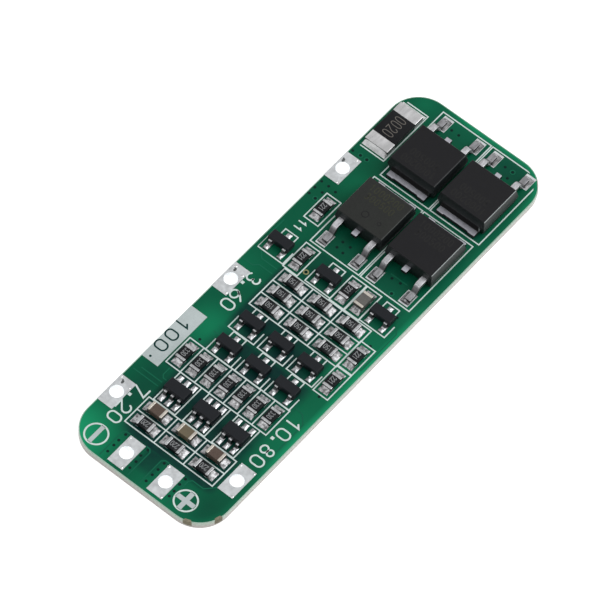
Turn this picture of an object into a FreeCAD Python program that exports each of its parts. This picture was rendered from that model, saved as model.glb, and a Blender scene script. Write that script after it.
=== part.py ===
"""Small three-cell lithium battery protection board, in millimetres.

The board lies flat in the XY plane with its underside at Z = 0 and its middle at the origin. +X points to
the end with the power transistors, +Y to the long edge with three of the wire terminals, and +Z up.
"""
import FreeCAD, Part
import math
import os

import Sketcher

# Driving sizes: name, value in millimetres or degrees, meaning
SIZES = (
    # Laminate and its printed layers
    ("board_thick", "1.0", "laminate with its mask"),
    ("corner_round", "3.9", "radius of the board's corners"),
    ("foil_thick", "0.05", "tinned foil of a land above the laminate"),
    ("ink_thick", "0.03", "printed outline above the laminate"),
    ("ink_line", "0.2", "width of a printed outline"),
    ("ink_clear", "0.25", "from a chip's or power transistor's lands to the near side of its outline"),
    ("ink_near", "0.12", "from a small package's lands to the near side of its outline"),
    ("ink_margin", "0.5", "unprinted strip along the board's edge"),
    # Wire terminals
    ("wire_hole", "1.6", "bore of a terminal"),
    ("barrel_wall", "0.05", "tinned plating in the bore"),
    ("tap_land_long", "4.05", "cell terminal along the board"),
    ("tap_land_wide", "2.07", "cell terminal across the board"),
    ("end_land_long", "3.87", "output terminal along the board"),
    ("end_land_wide", "2.1", "output terminal across the board"),
    # Chip resistors and capacitors
    ("chip_long", "2.0", "chip length"),
    ("chip_wide", "1.25", "chip width"),
    ("resistor_high", "0.5", "chip resistor height"),
    ("capacitor_high", "0.85", "chip capacitor height"),
    ("chip_wall", "0.04", "plating of a chip's ends"),
    ("chip_wrap", "0.4", "length of a chip's plated end"),
    ("overcoat_rise", "0.03", "dark overcoat above the plated ends"),
    ("overcoat_slope", "0.08", "run of the overcoat's sloping edge"),
    ("chip_land_out", "0.65", "land beyond the chip's end"),
    ("chip_land_in", "0.5", "land under the chip"),
    ("chip_solder_climb", "0.36", "solder height on a chip's end"),
    # Current shunt
    ("shunt_long", "6.35", "shunt length"),
    ("shunt_wide", "3.2", "shunt width"),
    ("shunt_high", "0.65", "shunt height"),
    ("shunt_wall", "0.08", "metal of the shunt's ends"),
    ("shunt_wrap", "1.45", "length of the shunt's metal ends"),
    ("shunt_land_out", "0.5", "land beyond the shunt's end"),
    ("shunt_land_in", "1.5", "land under the shunt"),
    ("shunt_solder_climb", "0.45", "solder height on the shunt's end"),
    # Three-lead signal transistors
    ("sot_wide", "1.3", "moulding across the leads"),
    ("sot_long", "2.9", "moulding along the row of leads"),
    ("sot_high", "1.0", "top of the moulding above the lands"),
    ("sot_lead_reach", "0.55", "lead beyond the moulding"),
    ("sot_lead_step", "0.95", "lead spacing from the middle of the row"),
    ("sot_lead_wide", "0.42", "lead width"),
    ("sot_land_out", "0.45", "land beyond a lead's tip"),
    # Six-lead protection chips
    ("ic_wide", "1.6", "moulding across the leads"),
    ("ic_long", "2.9", "moulding along the row of leads"),
    ("ic_high", "1.1", "top of the moulding above the lands"),
    ("ic_lead_reach", "0.6", "lead beyond the moulding"),
    ("ic_lead_step", "0.95", "lead spacing"),
    ("ic_lead_wide", "0.38", "lead width"),
    ("ic_land_out", "0.6", "land beyond a lead's tip"),
    # What the small packages share
    ("small_lead_thick", "0.14", "lead thickness"),
    ("small_lead_slope", "70", "slope of a lead between its bends, in degrees"),
    ("small_lead_rise", "0.5", "underside of a lead at the moulding, above the lands"),
    ("small_lead_root", "0.3", "lead held in the moulding"),
    ("small_foot", "0.25", "flat foot of a lead"),
    ("small_standoff", "0.08", "gap under the moulding"),
    ("small_land_long", "1.1", "length of a lead's land"),
    ("small_land_side", "0.12", "land beyond each side of a lead"),
    ("small_solder_climb", "0.1", "solder height at a lead's tip"),
    ("moulding_draft", "8", "draft of the moulded sides"),
    # Power transistors
    ("fet_wide", "6.6", "moulding across the leads' direction"),
    ("fet_long", "6.1", "moulding along the leads' direction"),
    ("fet_high", "2.3", "top of the moulding above the lands"),
    ("fet_draft", "11", "draft of the moulded sides"),
    ("tab_wide", "5.3", "drain tab width"),
    ("tab_thick", "0.5", "drain tab and lead thickness"),
    ("tab_out", "0.93", "drain tab beyond the moulding"),
    ("tab_depth", "4.2", "drain tab under the moulding"),
    ("tab_ear_long", "0.14", "ears at the drain tab's end"),
    ("tab_ear_wide", "0.9", "width of such an ear"),
    ("stub_out", "0.78", "cut-off middle lead beyond the moulding"),
    ("fet_lead_reach", "2.88", "outer lead beyond the moulding"),
    ("fet_lead_step", "2.285", "outer lead spacing from the middle"),
    ("fet_lead_wide", "0.76", "lead width"),
    ("fet_lead_bend", "0.3", "inner radius of a lead's bends"),
    ("fet_lead_slope", "55", "slope of a lead between its bends, in degrees"),
    ("fet_lead_rise", "0.9", "underside of a lead at the moulding, above the lands"),
    ("fet_lead_root", "0.8", "outer lead held in the moulding"),
    ("fet_foot", "0.9", "flat foot of a lead"),
    ("fet_land_out", "0.54", "land beyond a lead's tip"),
    ("fet_land_long", "1.9", "length of a lead's land"),
    ("fet_land_side", "0.27", "land beyond each side of a lead"),
    ("tab_land_in", "0.25", "drain land short of the tab's edges"),
    ("fet_solder_climb", "0.3", "solder height at a lead's tip"),
    # Spaces along the board, from the end with the output terminals
    ("near_margin", "0.465", "board end to output terminals"),
    ("ends_to_supply", "1.29", "output terminals to the first chips"),
    ("chip_gap", "0.75", "chip to chip in a row"),
    ("filter_to_ics", "0.69", "capacitors to the protection chips' lands"),
    ("ics_to_ladder", "0.6", "protection chips' lands to the ladder's lands"),
    ("ladder_to_signal", "0.53", "ladder's lands to the first signal transistors' lands"),
    ("signal_gap", "0.55", "first to second signal transistors' lands"),
    ("signal_to_balance", "0.56", "signal transistors' lands to the balance chips"),
    ("balance_to_control", "0.88", "balance chips to the control column's lands"),
    ("control_to_power", "1.075", "control column's lands to the power transistors' lands"),
    ("power_gap", "1.19", "between the drain tabs of the left and right pair"),
    ("far_margin", "1.2", "power transistors' lands to the board's far end"),
    # Spaces across the board, from the edge with the last cell's terminal
    ("power_margin", "1.25", "board edge to the first power transistor"),
    ("power_row_gap", "0.46", "between power transistors of a pair"),
    ("left_lands_up", "0.19", "left pair's lands above their transistors, as soldered"),
    ("right_lands_down", "0.15", "right pair's lands below their transistors, as soldered"),
    ("right_lands_out", "0.19", "right pair's lands beyond their transistors, as soldered"),
    ("power_to_shunt", "0.96", "power transistors to the shunt"),
    ("shunt_margin", "0.53", "shunt to the board's edge"),
    ("shunt_step", "1.37", "shunt's middle beyond the right pair's"),
    ("rows_start", "5.33", "board edge to the first of three rows"),
    ("row_pitch", "4.07", "row to row"),
    ("signal_drop", "0.4", "signal transistors nearer the edge than their row"),
    ("balance_drop", "0.48", "balance chips nearer the edge than their row"),
    ("ladder_start", "4.03", "board edge to the first ladder chip"),
    ("pair_start", "1.86", "board edge to the two chips at the edge"),
    ("pair_gap", "0.82", "between the lands of those two chips"),
    ("control_margin", "1.56", "board edge to the control column"),
    ("control_gap_1", "0.66", "signal transistor to capacitor"),
    ("control_gap_2", "0.86", "capacitor to resistor"),
    ("control_gap_3", "0.67", "resistor to signal transistor"),
    ("control_gap_4", "1.7", "signal transistor to resistor"),
    ("control_gap_5", "0.86", "resistor to signal transistor"),
    ("control_far_margin", "0.84", "control column to the other edge"),
    ("sense_back", "2.76", "sense chip nearer the leads than its transistor's middle"),
    ("sense_gap", "1.215", "power transistor to sense chip"),
    ("outputs_start", "7.36", "board edge to the first output terminal"),
    ("output_pitch", "5.45", "between output terminals"),
    ("low_tap_margin", "0.695", "board edge to the last cell's terminal"),
    ("first_tap_step", "1.23", "first cell terminals beyond the first chips"),
    ("second_tap_step", "0.14", "second cell terminal beyond the balance chips"),
    ("shunt_tap_gap", "1.9", "third cell terminal to the shunt's land"),
)

LADDER_CHIPS = 7
ROWS = 3
BALANCE_COLUMNS = 3

doc = FreeCAD.newDocument("battery_board")
sheet = doc.addObject("Spreadsheet::Sheet", "sizes")
for line, (alias, value, meaning) in enumerate(SIZES, start=1):
    sheet.set(f"A{line}", meaning)
    sheet.set(f"B{line}", value)
    sheet.setAlias(f"B{line}", alias)
doc.recompute()

# Places worked out from the sizes: distances from the board's near end and low edge
PLACES = (
    ("chip_pitch", "sizes.chip_wide + sizes.chip_gap"),
    ("chip_half", "sizes.chip_long / 2 + sizes.chip_land_out"),
    ("sot_half", "sizes.sot_wide / 2 + sizes.sot_lead_reach + sizes.sot_land_out"),
    ("ic_half", "sizes.ic_wide / 2 + sizes.ic_lead_reach + sizes.ic_land_out"),
    ("fet_half", "sizes.fet_long / 2 + sizes.fet_lead_reach + sizes.fet_land_out"),
    ("tab_half", "sizes.fet_long / 2 + sizes.tab_out"),
    ("control_half", "max(places.chip_half; places.sot_half)"),
    ("shunt_half", "sizes.shunt_long / 2 + sizes.shunt_land_out"),
    ("top", "sizes.board_thick"),
    ("seat", "sizes.foil_thick"),
    ("output_at", "sizes.near_margin + sizes.end_land_long / 2"),
    ("supply_at", "sizes.near_margin + sizes.end_land_long + sizes.ends_to_supply + sizes.chip_wide / 2"),
    ("filter_at", "places.supply_at + places.chip_pitch"),
    ("ic_at", "places.filter_at + sizes.chip_wide / 2 + sizes.filter_to_ics + places.ic_half"),
    ("ladder_at", "places.ic_at + places.ic_half + sizes.ics_to_ladder + places.chip_half"),
    ("signal_1_at", "places.ladder_at + places.chip_half + sizes.ladder_to_signal + places.sot_half"),
    ("signal_2_at", "places.signal_1_at + 2 * places.sot_half + sizes.signal_gap"),
    ("balance_at", "places.signal_2_at + places.sot_half + sizes.signal_to_balance + sizes.chip_wide / 2"),
    ("balance_end", f"places.balance_at + {BALANCE_COLUMNS - 1} * places.chip_pitch + sizes.chip_wide / 2"),
    ("control_at", "places.balance_end + sizes.balance_to_control + places.control_half"),
    ("power_1_at", "places.control_at + places.control_half + sizes.control_to_power + places.fet_half"),
    ("power_2_at", "places.power_1_at + 2 * places.tab_half + sizes.power_gap"),
    ("board_long", "places.power_2_at + places.fet_half + sizes.far_margin"),
    ("shunt_at", "places.power_2_at + sizes.shunt_step"),
    ("sense_at", "places.power_1_at - sizes.sense_back"),
    ("pair_1_at", "places.signal_2_at"),
    ("pair_2_at", "places.pair_1_at + 2 * places.chip_half + sizes.pair_gap"),
    ("tap_1_at", "places.supply_at + sizes.first_tap_step"),
    ("tap_2_at", "places.balance_at + sizes.second_tap_step"),
    ("tap_3_at", "places.shunt_at - places.shunt_half - sizes.shunt_tap_gap - sizes.tap_land_long / 2"),
    ("power_low", "sizes.power_margin + sizes.fet_wide / 2"),
    ("power_high", "places.power_low + sizes.fet_wide + sizes.power_row_gap"),
    ("power_top", "places.power_high + sizes.fet_wide / 2"),
    ("power_stack", "places.power_top + sizes.power_to_shunt + sizes.shunt_wide + sizes.shunt_margin"),
    ("control_1", "sizes.control_margin + sizes.sot_long / 2"),
    ("control_2", "places.control_1 + (sizes.sot_long + sizes.chip_wide) / 2 + sizes.control_gap_1"),
    ("control_3", "places.control_2 + sizes.chip_wide + sizes.control_gap_2"),
    ("control_4", "places.control_3 + (sizes.sot_long + sizes.chip_wide) / 2 + sizes.control_gap_3"),
    ("control_5", "places.control_4 + (sizes.sot_long + sizes.chip_wide) / 2 + sizes.control_gap_4"),
    ("control_6", "places.control_5 + (sizes.sot_long + sizes.chip_wide) / 2 + sizes.control_gap_5"),
    ("control_stack", "places.control_6 + sizes.sot_long / 2 + sizes.control_far_margin"),
    ("board_wide", "max(places.power_stack; places.control_stack)"),
    ("shunt_up", "places.board_wide - sizes.shunt_margin - sizes.shunt_wide / 2"),
    ("sense_up", "places.power_top + sizes.sense_gap + sizes.chip_wide / 2"),
    ("tap_up", "places.board_wide - sizes.tap_land_wide / 2"),
    ("low_tap_up", "sizes.low_tap_margin + sizes.tap_land_wide / 2"),
)

places = doc.addObject("App::VarSet", "places")
for name, formula in PLACES:
    places.addProperty("App::PropertyFloat", name, "Places")
    places.setExpression(name, formula)
doc.recompute()


def along(place):
    """X of a distance measured from the board's near end."""
    return f"{place} - places.board_long / 2"


def across(place):
    """Y of a distance measured from the board's low edge."""
    return f"{place} - places.board_wide / 2"


def row(number, drop="0"):
    """Distance of one of the three rows from the low edge."""
    return f"(sizes.rows_start + {number} * sizes.row_pitch - {drop})"


# Sketches and features

def new_sketch(body, plane, offset="0"):
    """Sketch on one of the body's own planes, moved along its normal."""
    sketch = body.newObject("Sketcher::SketchObject", "sketch")
    origin_plane = [face for face in body.Origin.OriginFeatures if face.Role == plane][0]
    sketch.AttachmentSupport = (origin_plane, [""])
    sketch.MapMode = "FlatFace"
    sketch.setExpression("AttachmentOffset.Base.z", offset)
    return sketch


def arc_between(start, end, middle, radius):
    """Arc from start to end about middle, the short way round, and whether it runs clockwise."""
    first = start - middle
    last = end - middle
    clockwise = first.cross(last).z < 0
    if clockwise:
        first, last = last, first
    angle = math.atan2(first.y, first.x)
    sweep = first.getAngle(last)
    ring = Part.Circle(middle, FreeCAD.Vector(0, 0, 1), radius)
    return Part.ArcOfCircle(ring, angle, angle + sweep), clockwise


def closed_outline(sketch, corners, bends=None):
    """Closed outline through corners given as pairs of expressions.

    bends holds, for the corner that a bend starts from, its centre and radius as expressions.
    """
    bends = bends or {}
    first = sketch.GeometryCount
    spots = [
        FreeCAD.Vector(sketch.evalExpression(x), sketch.evalExpression(y), 0)
        for x, y in corners
    ]
    ends = []
    for number, start in enumerate(spots):
        end = spots[(number + 1) % len(spots)]
        if number in bends:
            middle_x, middle_y, radius = bends[number]
            middle = FreeCAD.Vector(sketch.evalExpression(middle_x), sketch.evalExpression(middle_y), 0)
            reach = sketch.evalExpression(radius)
            arc, clockwise = arc_between(start, end, middle, reach)
            edge = sketch.addGeometry(arc)
            ends.append((2, 1) if clockwise else (1, 2))
            rule = sketch.addConstraint(Sketcher.Constraint("Radius", edge, reach))
            sketch.setExpression(f"Constraints[{rule}]", radius)
        else:
            sketch.addGeometry(Part.LineSegment(start, end))
            ends.append((1, 2))
    for number in range(len(spots)):
        after = (number + 1) % len(spots)
        sketch.addConstraint(
            Sketcher.Constraint("Coincident", first + number, ends[number][1], first + after, ends[after][0])
        )
    for number, spot in enumerate(spots):
        for kind, value, formula in (
            ("DistanceX", spot.x, corners[number][0]),
            ("DistanceY", spot.y, corners[number][1]),
        ):
            rule = sketch.addConstraint(
                Sketcher.Constraint(kind, -1, 1, first + number, ends[number][0], value)
            )
            sketch.setExpression(f"Constraints[{rule}]", formula)


def rectangle(sketch, low_x, low_y, high_x, high_y):
    """Rectangle between two corners given as expressions."""
    closed_outline(sketch, [(low_x, low_y), (high_x, low_y), (high_x, high_y), (low_x, high_y)])


def centred_rectangle(sketch, middle_x, middle_y, size_x, size_y):
    """Rectangle about a middle given as expressions."""
    rectangle(
        sketch,
        f"{middle_x} - ({size_x}) / 2",
        f"{middle_y} - ({size_y}) / 2",
        f"{middle_x} + ({size_x}) / 2",
        f"{middle_y} + ({size_y}) / 2",
    )


def circle(sketch, middle_x, middle_y, diameter):
    """Circle about a middle given as expressions."""
    middle = FreeCAD.Vector(sketch.evalExpression(middle_x), sketch.evalExpression(middle_y), 0)
    across_it = sketch.evalExpression(diameter)
    ring = sketch.addGeometry(Part.Circle(middle, FreeCAD.Vector(0, 0, 1), across_it / 2))
    for kind, value, formula in (
        ("DistanceX", middle.x, middle_x),
        ("DistanceY", middle.y, middle_y),
    ):
        rule = sketch.addConstraint(Sketcher.Constraint(kind, -1, 1, ring, 3, value))
        sketch.setExpression(f"Constraints[{rule}]", formula)
    rule = sketch.addConstraint(Sketcher.Constraint("Diameter", ring, across_it))
    sketch.setExpression(f"Constraints[{rule}]", diameter)


def pad(body, sketch, length, side="One side", taper=None, down=False):
    """Pad of a sketch, drafted inwards by taper degrees where given."""
    feature = body.newObject("PartDesign::Pad", "pad")
    feature.Profile = sketch
    feature.SideType = side
    feature.Reversed = down
    feature.setExpression("Length", length)
    if taper:
        feature.setExpression("TaperAngle", f"-1 * {taper}")
    return feature


def pocket(body, sketch, depth, upwards):
    """Pocket of a sketch on the underside."""
    feature = body.newObject("PartDesign::Pocket", "pocket")
    feature.Profile = sketch
    feature.Reversed = upwards
    feature.setExpression("Length", depth)
    return feature


def new_body(name):
    """Empty body for one piece."""
    return doc.addObject("PartDesign::Body", name)


# Terminals and the laminate that they are plated into

BARREL = "sizes.wire_hole + 2 * sizes.barrel_wall"

TERMINALS = (
    # Name, distance along, distance across, kind of land
    ("charge_minus_terminal", "places.output_at", "(sizes.outputs_start + sizes.output_pitch)", "end"),
    ("charge_plus_terminal", "places.output_at", "sizes.outputs_start", "end"),
    ("battery_second_cell_terminal", "places.tap_1_at", "places.tap_up", "tap"),
    ("battery_first_cell_terminal", "places.tap_2_at", "places.tap_up", "tap"),
    ("battery_minus_terminal", "places.tap_3_at", "places.tap_up", "tap"),
    ("battery_plus_terminal", "places.tap_1_at", "places.low_tap_up", "tap"),
)


def terminal(kind):
    """Plated wire terminal: a land on each face and a barrel through the laminate."""
    body = new_body(f"{kind}_terminal")
    for height, thick in (("0", "sizes.foil_thick"), ("sizes.board_thick", "sizes.foil_thick")):
        land = new_sketch(body, "XY_Plane", height)
        centred_rectangle(land, "0", "0", f"sizes.{kind}_land_long", f"sizes.{kind}_land_wide")
        pad(body, land, thick)
    barrel = new_sketch(body, "XY_Plane")
    circle(barrel, "0", "0", BARREL)
    pad(body, barrel, "sizes.board_thick")
    bore = new_sketch(body, "XY_Plane")
    circle(bore, "0", "0", "sizes.wire_hole")
    pocket(body, bore, "sizes.board_thick + sizes.foil_thick", upwards=True)
    return body


def board_outline(sketch, inset="0"):
    """The board's round-cornered outline, moved inwards by inset."""
    end = f"(places.board_long / 2 - {inset})"
    edge = f"(places.board_wide / 2 - {inset})"
    turn = f"(sizes.corner_round - {inset})"
    high_end = f"({end} - {turn})"
    high_edge = f"({edge} - {turn})"
    closed_outline(
        sketch,
        [
            (f"-1 * {high_end}", f"-1 * {edge}"), (high_end, f"-1 * {edge}"),
            (end, f"-1 * {high_edge}"), (end, high_edge),
            (high_end, edge), (f"-1 * {high_end}", edge),
            (f"-1 * {end}", high_edge), (f"-1 * {end}", f"-1 * {high_edge}"),
        ],
        {
            1: (high_end, f"-1 * {high_edge}", turn),
            3: (high_end, high_edge, turn),
            5: (f"-1 * {high_end}", high_edge, turn),
            7: (f"-1 * {high_end}", f"-1 * {high_edge}", turn),
        },
    )


def laminate():
    """Round-cornered laminate with plated holes and the terminals' lower lands let in flush."""
    body = new_body("laminate")
    outline = new_sketch(body, "XY_Plane")
    board_outline(outline)
    pad(body, outline, "sizes.board_thick")
    recess = new_sketch(body, "XY_Plane")
    holes = new_sketch(body, "XY_Plane")
    for _, place_x, place_y, kind in TERMINALS:
        centred_rectangle(
            recess, along(place_x), across(place_y), f"sizes.{kind}_land_long", f"sizes.{kind}_land_wide"
        )
        circle(holes, along(place_x), across(place_y), BARREL)
    pocket(body, recess, "sizes.foil_thick", upwards=True)
    pocket(body, holes, "sizes.board_thick", upwards=True)
    return body


# Chips with plated ends

def ended_chip(name, size, high, wall, wrap, overcoat):
    """Core and pair of plated ends of a chip that lies along X on its lands.

    A resistor's core has a raised overcoat between C-shaped ends. A capacitor's ends are caps that its
    plain core sits in.
    """
    end = f"(sizes.{size}_long / 2)"
    inside = f"({end} - sizes.{wall})"
    shoulder = f"({end} - sizes.{wrap})"
    floor = "sizes.foil_thick"
    roof = f"({floor} + sizes.{high})"
    under = f"({floor} + sizes.{wall})"
    over = f"({roof} - sizes.{wall})"
    core = new_body(f"{name}_core")
    ends = new_body(f"{name}_ends")
    profile = new_sketch(core, "XZ_Plane")
    if overcoat:
        crest = f"({roof} + sizes.overcoat_rise)"
        brow = f"({shoulder} - sizes.overcoat_slope)"
        closed_outline(
            profile,
            [
                (f"-1 * {inside}", under), (inside, under), (inside, over), (shoulder, over),
                (brow, crest), (f"-1 * {brow}", crest), (f"-1 * {shoulder}", over),
                (f"-1 * {inside}", over),
            ],
        )
        pad(core, profile, f"sizes.{size}_wide", side="Symmetric")
        caps = new_sketch(ends, "XZ_Plane")
        for sign in ("-1", "1"):
            closed_outline(
                caps,
                [
                    (f"{sign} * {shoulder}", floor), (f"{sign} * {end}", floor),
                    (f"{sign} * {end}", roof), (f"{sign} * {shoulder}", roof),
                    (f"{sign} * {shoulder}", over), (f"{sign} * {inside}", over),
                    (f"{sign} * {inside}", under), (f"{sign} * {shoulder}", under),
                ],
            )
        pad(ends, caps, f"sizes.{size}_wide", side="Symmetric")
        return core, ends
    rectangle(profile, f"-1 * {inside}", under, inside, over)
    pad(core, profile, f"sizes.{size}_wide - 2 * sizes.{wall}", side="Symmetric")
    caps = new_sketch(ends, "XZ_Plane")
    rectangle(caps, f"-1 * {end}", floor, f"-1 * {shoulder}", roof)
    rectangle(caps, shoulder, floor, end, roof)
    pad(ends, caps, f"sizes.{size}_wide", side="Symmetric")
    return core, cut(f"{name}_caps", ends, core)


def chip_lands(name, size):
    """Pair of lands under a chip's ends."""
    body = new_body(f"{name}_lands")
    sketch = new_sketch(body, "XY_Plane")
    outer = f"(sizes.{size}_long / 2 + sizes.{name}_land_out)"
    inner = f"(sizes.{size}_long / 2 - sizes.{name}_land_in)"
    half = f"sizes.{size}_wide / 2"
    rectangle(sketch, f"-1 * {outer}", f"-{half}", f"-1 * {inner}", half)
    rectangle(sketch, inner, f"-{half}", outer, half)
    pad(body, sketch, "sizes.foil_thick")
    return body


def chip_solder(name, size):
    """Pair of wedge fillets between a chip's ends and the tips of its lands."""
    body = new_body(f"{name}_solder")
    sketch = new_sketch(body, "XZ_Plane")
    end = f"(sizes.{size}_long / 2)"
    tip = f"({end} + sizes.{name}_land_out)"
    floor = "sizes.foil_thick"
    crest = f"({floor} + sizes.{name}_solder_climb)"
    for sign in ("-1", "1"):
        closed_outline(
            sketch, [(f"{sign} * {end}", floor), (f"{sign} * {tip}", floor), (f"{sign} * {end}", crest)]
        )
    pad(body, sketch, f"sizes.{size}_wide", side="Symmetric")
    return body


# Moulded packages with formed leads

def cut(name, base, tool):
    """Base with the tool's shape let into it."""
    result = doc.addObject("Part::Cut", name)
    result.Base = base
    result.Tool = tool
    return result


def moulding(name, wide, long, high, parting, standoff, draft):
    """Moulded block drafted both ways from its parting plane, wide along X and long along Y."""
    body = new_body(name)
    for length, down in ((f"{high} - ({parting})", False), (f"{parting} - ({standoff})", True)):
        sketch = new_sketch(body, "XY_Plane", f"sizes.foil_thick + {parting}")
        centred_rectangle(sketch, "0", "0", wide, long)
        pad(body, sketch, length, taper=draft, down=down)
    return body


def small_lead(body, side, place, face, kind):
    """Gull-wing lead of a small package: root in the moulding, slope, and flat foot on its land.

    face is the moulding's side, place the lead's Y, and kind a dict of its sizes.
    """
    seat = "sizes.foil_thick"
    thick, rise = kind["thick"], kind["rise"]
    slope = f"({kind['slope']} * 1 deg)"
    root = f"({face} - {kind['root']})"
    tip = f"({face} + {kind['reach']})"
    ankle = f"({tip} - {kind['foot']})"
    knee = f"({ankle} - {rise} / tan({slope}))"
    mitre = f"{thick} * tan({slope} / 2)"
    low = f"({seat} + {rise})"
    points = [
        (root, low), (knee, low), (ankle, seat), (tip, seat), (tip, f"{seat} + {thick}"),
        (f"({ankle} + {mitre})", f"{seat} + {thick}"), (f"({knee} + {mitre})", f"{low} + {thick}"),
        (root, f"{low} + {thick}"),
    ]
    sketch = new_sketch(body, "XZ_Plane", f"-1 * ({place})")
    closed_outline(sketch, [(f"{side} * {x}", y) for x, y in points])
    pad(body, sketch, kind["wide"], side="Symmetric")


def power_lead(body, place, face):
    """Formed outer lead of a power transistor towards -X: two rolled bends and a sloping shank."""
    seat = "sizes.foil_thick"
    thick = "sizes.tab_thick"
    bend = "sizes.fet_lead_bend"
    wide_bend = f"({bend} + {thick})"
    rise = "cos(sizes.fet_lead_slope * 1 deg)"
    run = "sin(sizes.fet_lead_slope * 1 deg)"
    low = f"({seat} + sizes.fet_lead_rise)"
    high = f"({low} + {thick})"
    instep = f"({seat} + {thick})"
    root = f"({face} - sizes.fet_lead_root)"
    tip = f"({face} + sizes.fet_lead_reach)"
    heel = f"({tip} - sizes.fet_foot)"
    shin = f"({low} - {bend})"
    ankle = f"({instep} + {bend})"
    drop = f"({shin} - {ankle} + ({wide_bend} + {bend}) * {rise})"
    knee = f"({heel} - ({wide_bend} + {bend}) * {run} - {drop} * {rise} / {run})"
    points = [
        (root, low), (knee, low),
        (f"({knee} + {bend} * {run})", f"{shin} + {bend} * {rise}"),
        (f"({heel} - {wide_bend} * {run})", f"{ankle} - {wide_bend} * {rise}"),
        (heel, seat), (tip, seat), (tip, instep), (heel, instep),
        (f"({heel} - {bend} * {run})", f"{ankle} - {bend} * {rise}"),
        (f"({knee} + {wide_bend} * {run})", f"{shin} + {wide_bend} * {rise}"),
        (knee, high), (root, high),
    ]
    bends = {
        1: (knee, shin, bend),
        3: (heel, ankle, wide_bend),
        7: (heel, ankle, bend),
        9: (knee, shin, wide_bend),
    }
    sketch = new_sketch(body, "XZ_Plane", f"-1 * ({place})")
    closed_outline(
        sketch,
        [(f"-1 * {x}", y) for x, y in points],
        {start: (f"-1 * {x}", y, radius) for start, (x, y, radius) in bends.items()},
    )
    pad(body, sketch, "sizes.fet_lead_wide", side="Symmetric")


def lead_land(body, side, place, tip, out, long, wide):
    """Land under a lead's foot."""
    sketch = new_sketch(body, "XY_Plane")
    outer = f"({tip} + {out})"
    middle = f"{side} * ({outer} - {long} / 2)"
    centred_rectangle(sketch, middle, place, long, wide)
    pad(body, sketch, "sizes.foil_thick")


def toe_solder(body, side, place, tip, out, climb, wide):
    """Wedge fillet between a lead's tip and the tip of its land."""
    sketch = new_sketch(body, "XZ_Plane", f"-1 * ({place})")
    floor = "sizes.foil_thick"
    closed_outline(
        sketch,
        [
            (f"{side} * {tip}", floor), (f"{side} * ({tip} + {out})", floor),
            (f"{side} * {tip}", f"{floor} + {climb}"),
        ],
    )
    pad(body, sketch, wide, side="Symmetric")


def small_package(name, lead_places):
    """Small moulded package: moulding, leads, lands and toe solder as four objects."""
    face = f"(sizes.{name}_wide / 2)"
    tip = f"({face} + sizes.{name}_lead_reach)"
    wide = f"sizes.{name}_lead_wide"
    out = f"sizes.{name}_land_out"
    kind = {
        "thick": "sizes.small_lead_thick", "slope": "sizes.small_lead_slope", "rise": "sizes.small_lead_rise",
        "reach": f"sizes.{name}_lead_reach", "foot": "sizes.small_foot", "root": "sizes.small_lead_root",
        "wide": wide,
    }
    parting = "sizes.small_lead_rise + sizes.small_lead_thick / 2"
    block = moulding(
        f"{name}_block", f"sizes.{name}_wide", f"sizes.{name}_long", f"sizes.{name}_high", parting,
        "sizes.small_standoff", "sizes.moulding_draft",
    )
    leads = new_body(f"{name}_leads")
    lands = new_body(f"{name}_lands")
    solder = new_body(f"{name}_solder")
    for side, place in lead_places:
        small_lead(leads, side, place, face, kind)
        lead_land(lands, side, place, tip, out, "sizes.small_land_long",
                  f"{wide} + 2 * sizes.small_land_side")
        toe_solder(solder, side, place, tip, out, "sizes.small_solder_climb", wide)
    return cut(f"{name}_moulding", block, leads), leads, lands, solder


def power_package():
    """Tabbed power transistor with its leads towards -X and its drain tab towards +X."""
    face = "(sizes.fet_long / 2)"
    seat = "sizes.foil_thick"
    parting = "sizes.fet_lead_rise + sizes.tab_thick / 2"
    block = moulding(
        "fet_block", "sizes.fet_long", "sizes.fet_wide", "sizes.fet_high", parting, "0", "sizes.fet_draft"
    )
    drain = new_body("fet_drain")
    back = f"({face} - sizes.tab_depth)"
    tab_end = f"({face} + sizes.tab_out)"
    waist = f"({tab_end} - sizes.tab_ear_long)"
    half = "(sizes.tab_wide / 2)"
    plate = new_sketch(drain, "XY_Plane", seat)
    closed_outline(
        plate,
        [
            (back, f"-1 * {half}"), (tab_end, f"-1 * {half}"),
            (tab_end, f"-1 * {half} + sizes.tab_ear_wide"),
            (waist, f"-1 * {half} + sizes.tab_ear_wide"), (waist, f"{half} - sizes.tab_ear_wide"),
            (tab_end, f"{half} - sizes.tab_ear_wide"), (tab_end, half), (back, half),
        ],
    )
    pad(drain, plate, "sizes.tab_thick")
    riser = new_sketch(drain, "XZ_Plane")
    low = f"({seat} + sizes.fet_lead_rise)"
    high = f"({low} + sizes.tab_thick)"
    inner = f"({back} + sizes.tab_thick)"
    closed_outline(
        riser,
        [
            (back, seat), (inner, seat), (inner, high), (f"-1 * ({face} + sizes.stub_out)", high),
            (f"-1 * ({face} + sizes.stub_out)", low), (back, low),
        ],
    )
    pad(drain, riser, "sizes.fet_lead_wide", side="Symmetric")
    leads = new_body("fet_leads")
    lands = new_body("fet_lands")
    solder = new_body("fet_solder")
    tip = f"({face} + sizes.fet_lead_reach)"
    land_wide = "sizes.fet_lead_wide + 2 * sizes.fet_land_side"
    for sign in ("-1", "1"):
        place = f"{sign} * sizes.fet_lead_step"
        power_lead(leads, place, face)
        lead_land(lands, "-1", place, tip, "sizes.fet_land_out", "sizes.fet_land_long", land_wide)
        toe_solder(solder, "-1", place, tip, "sizes.fet_land_out", "sizes.fet_solder_climb",
                   "sizes.fet_lead_wide")
    tab_land = new_sketch(lands, "XY_Plane")
    rectangle(
        tab_land, back, f"-1 * ({half} - sizes.tab_land_in)", f"{tab_end} - sizes.tab_land_in",
        f"{half} - sizes.tab_land_in",
    )
    pad(lands, tab_land, seat)
    carved = cut("fet_carved", block, drain)
    return cut("fet_moulding", carved, leads), drain, leads, lands, solder


# Masters that the placed pieces link to

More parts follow.
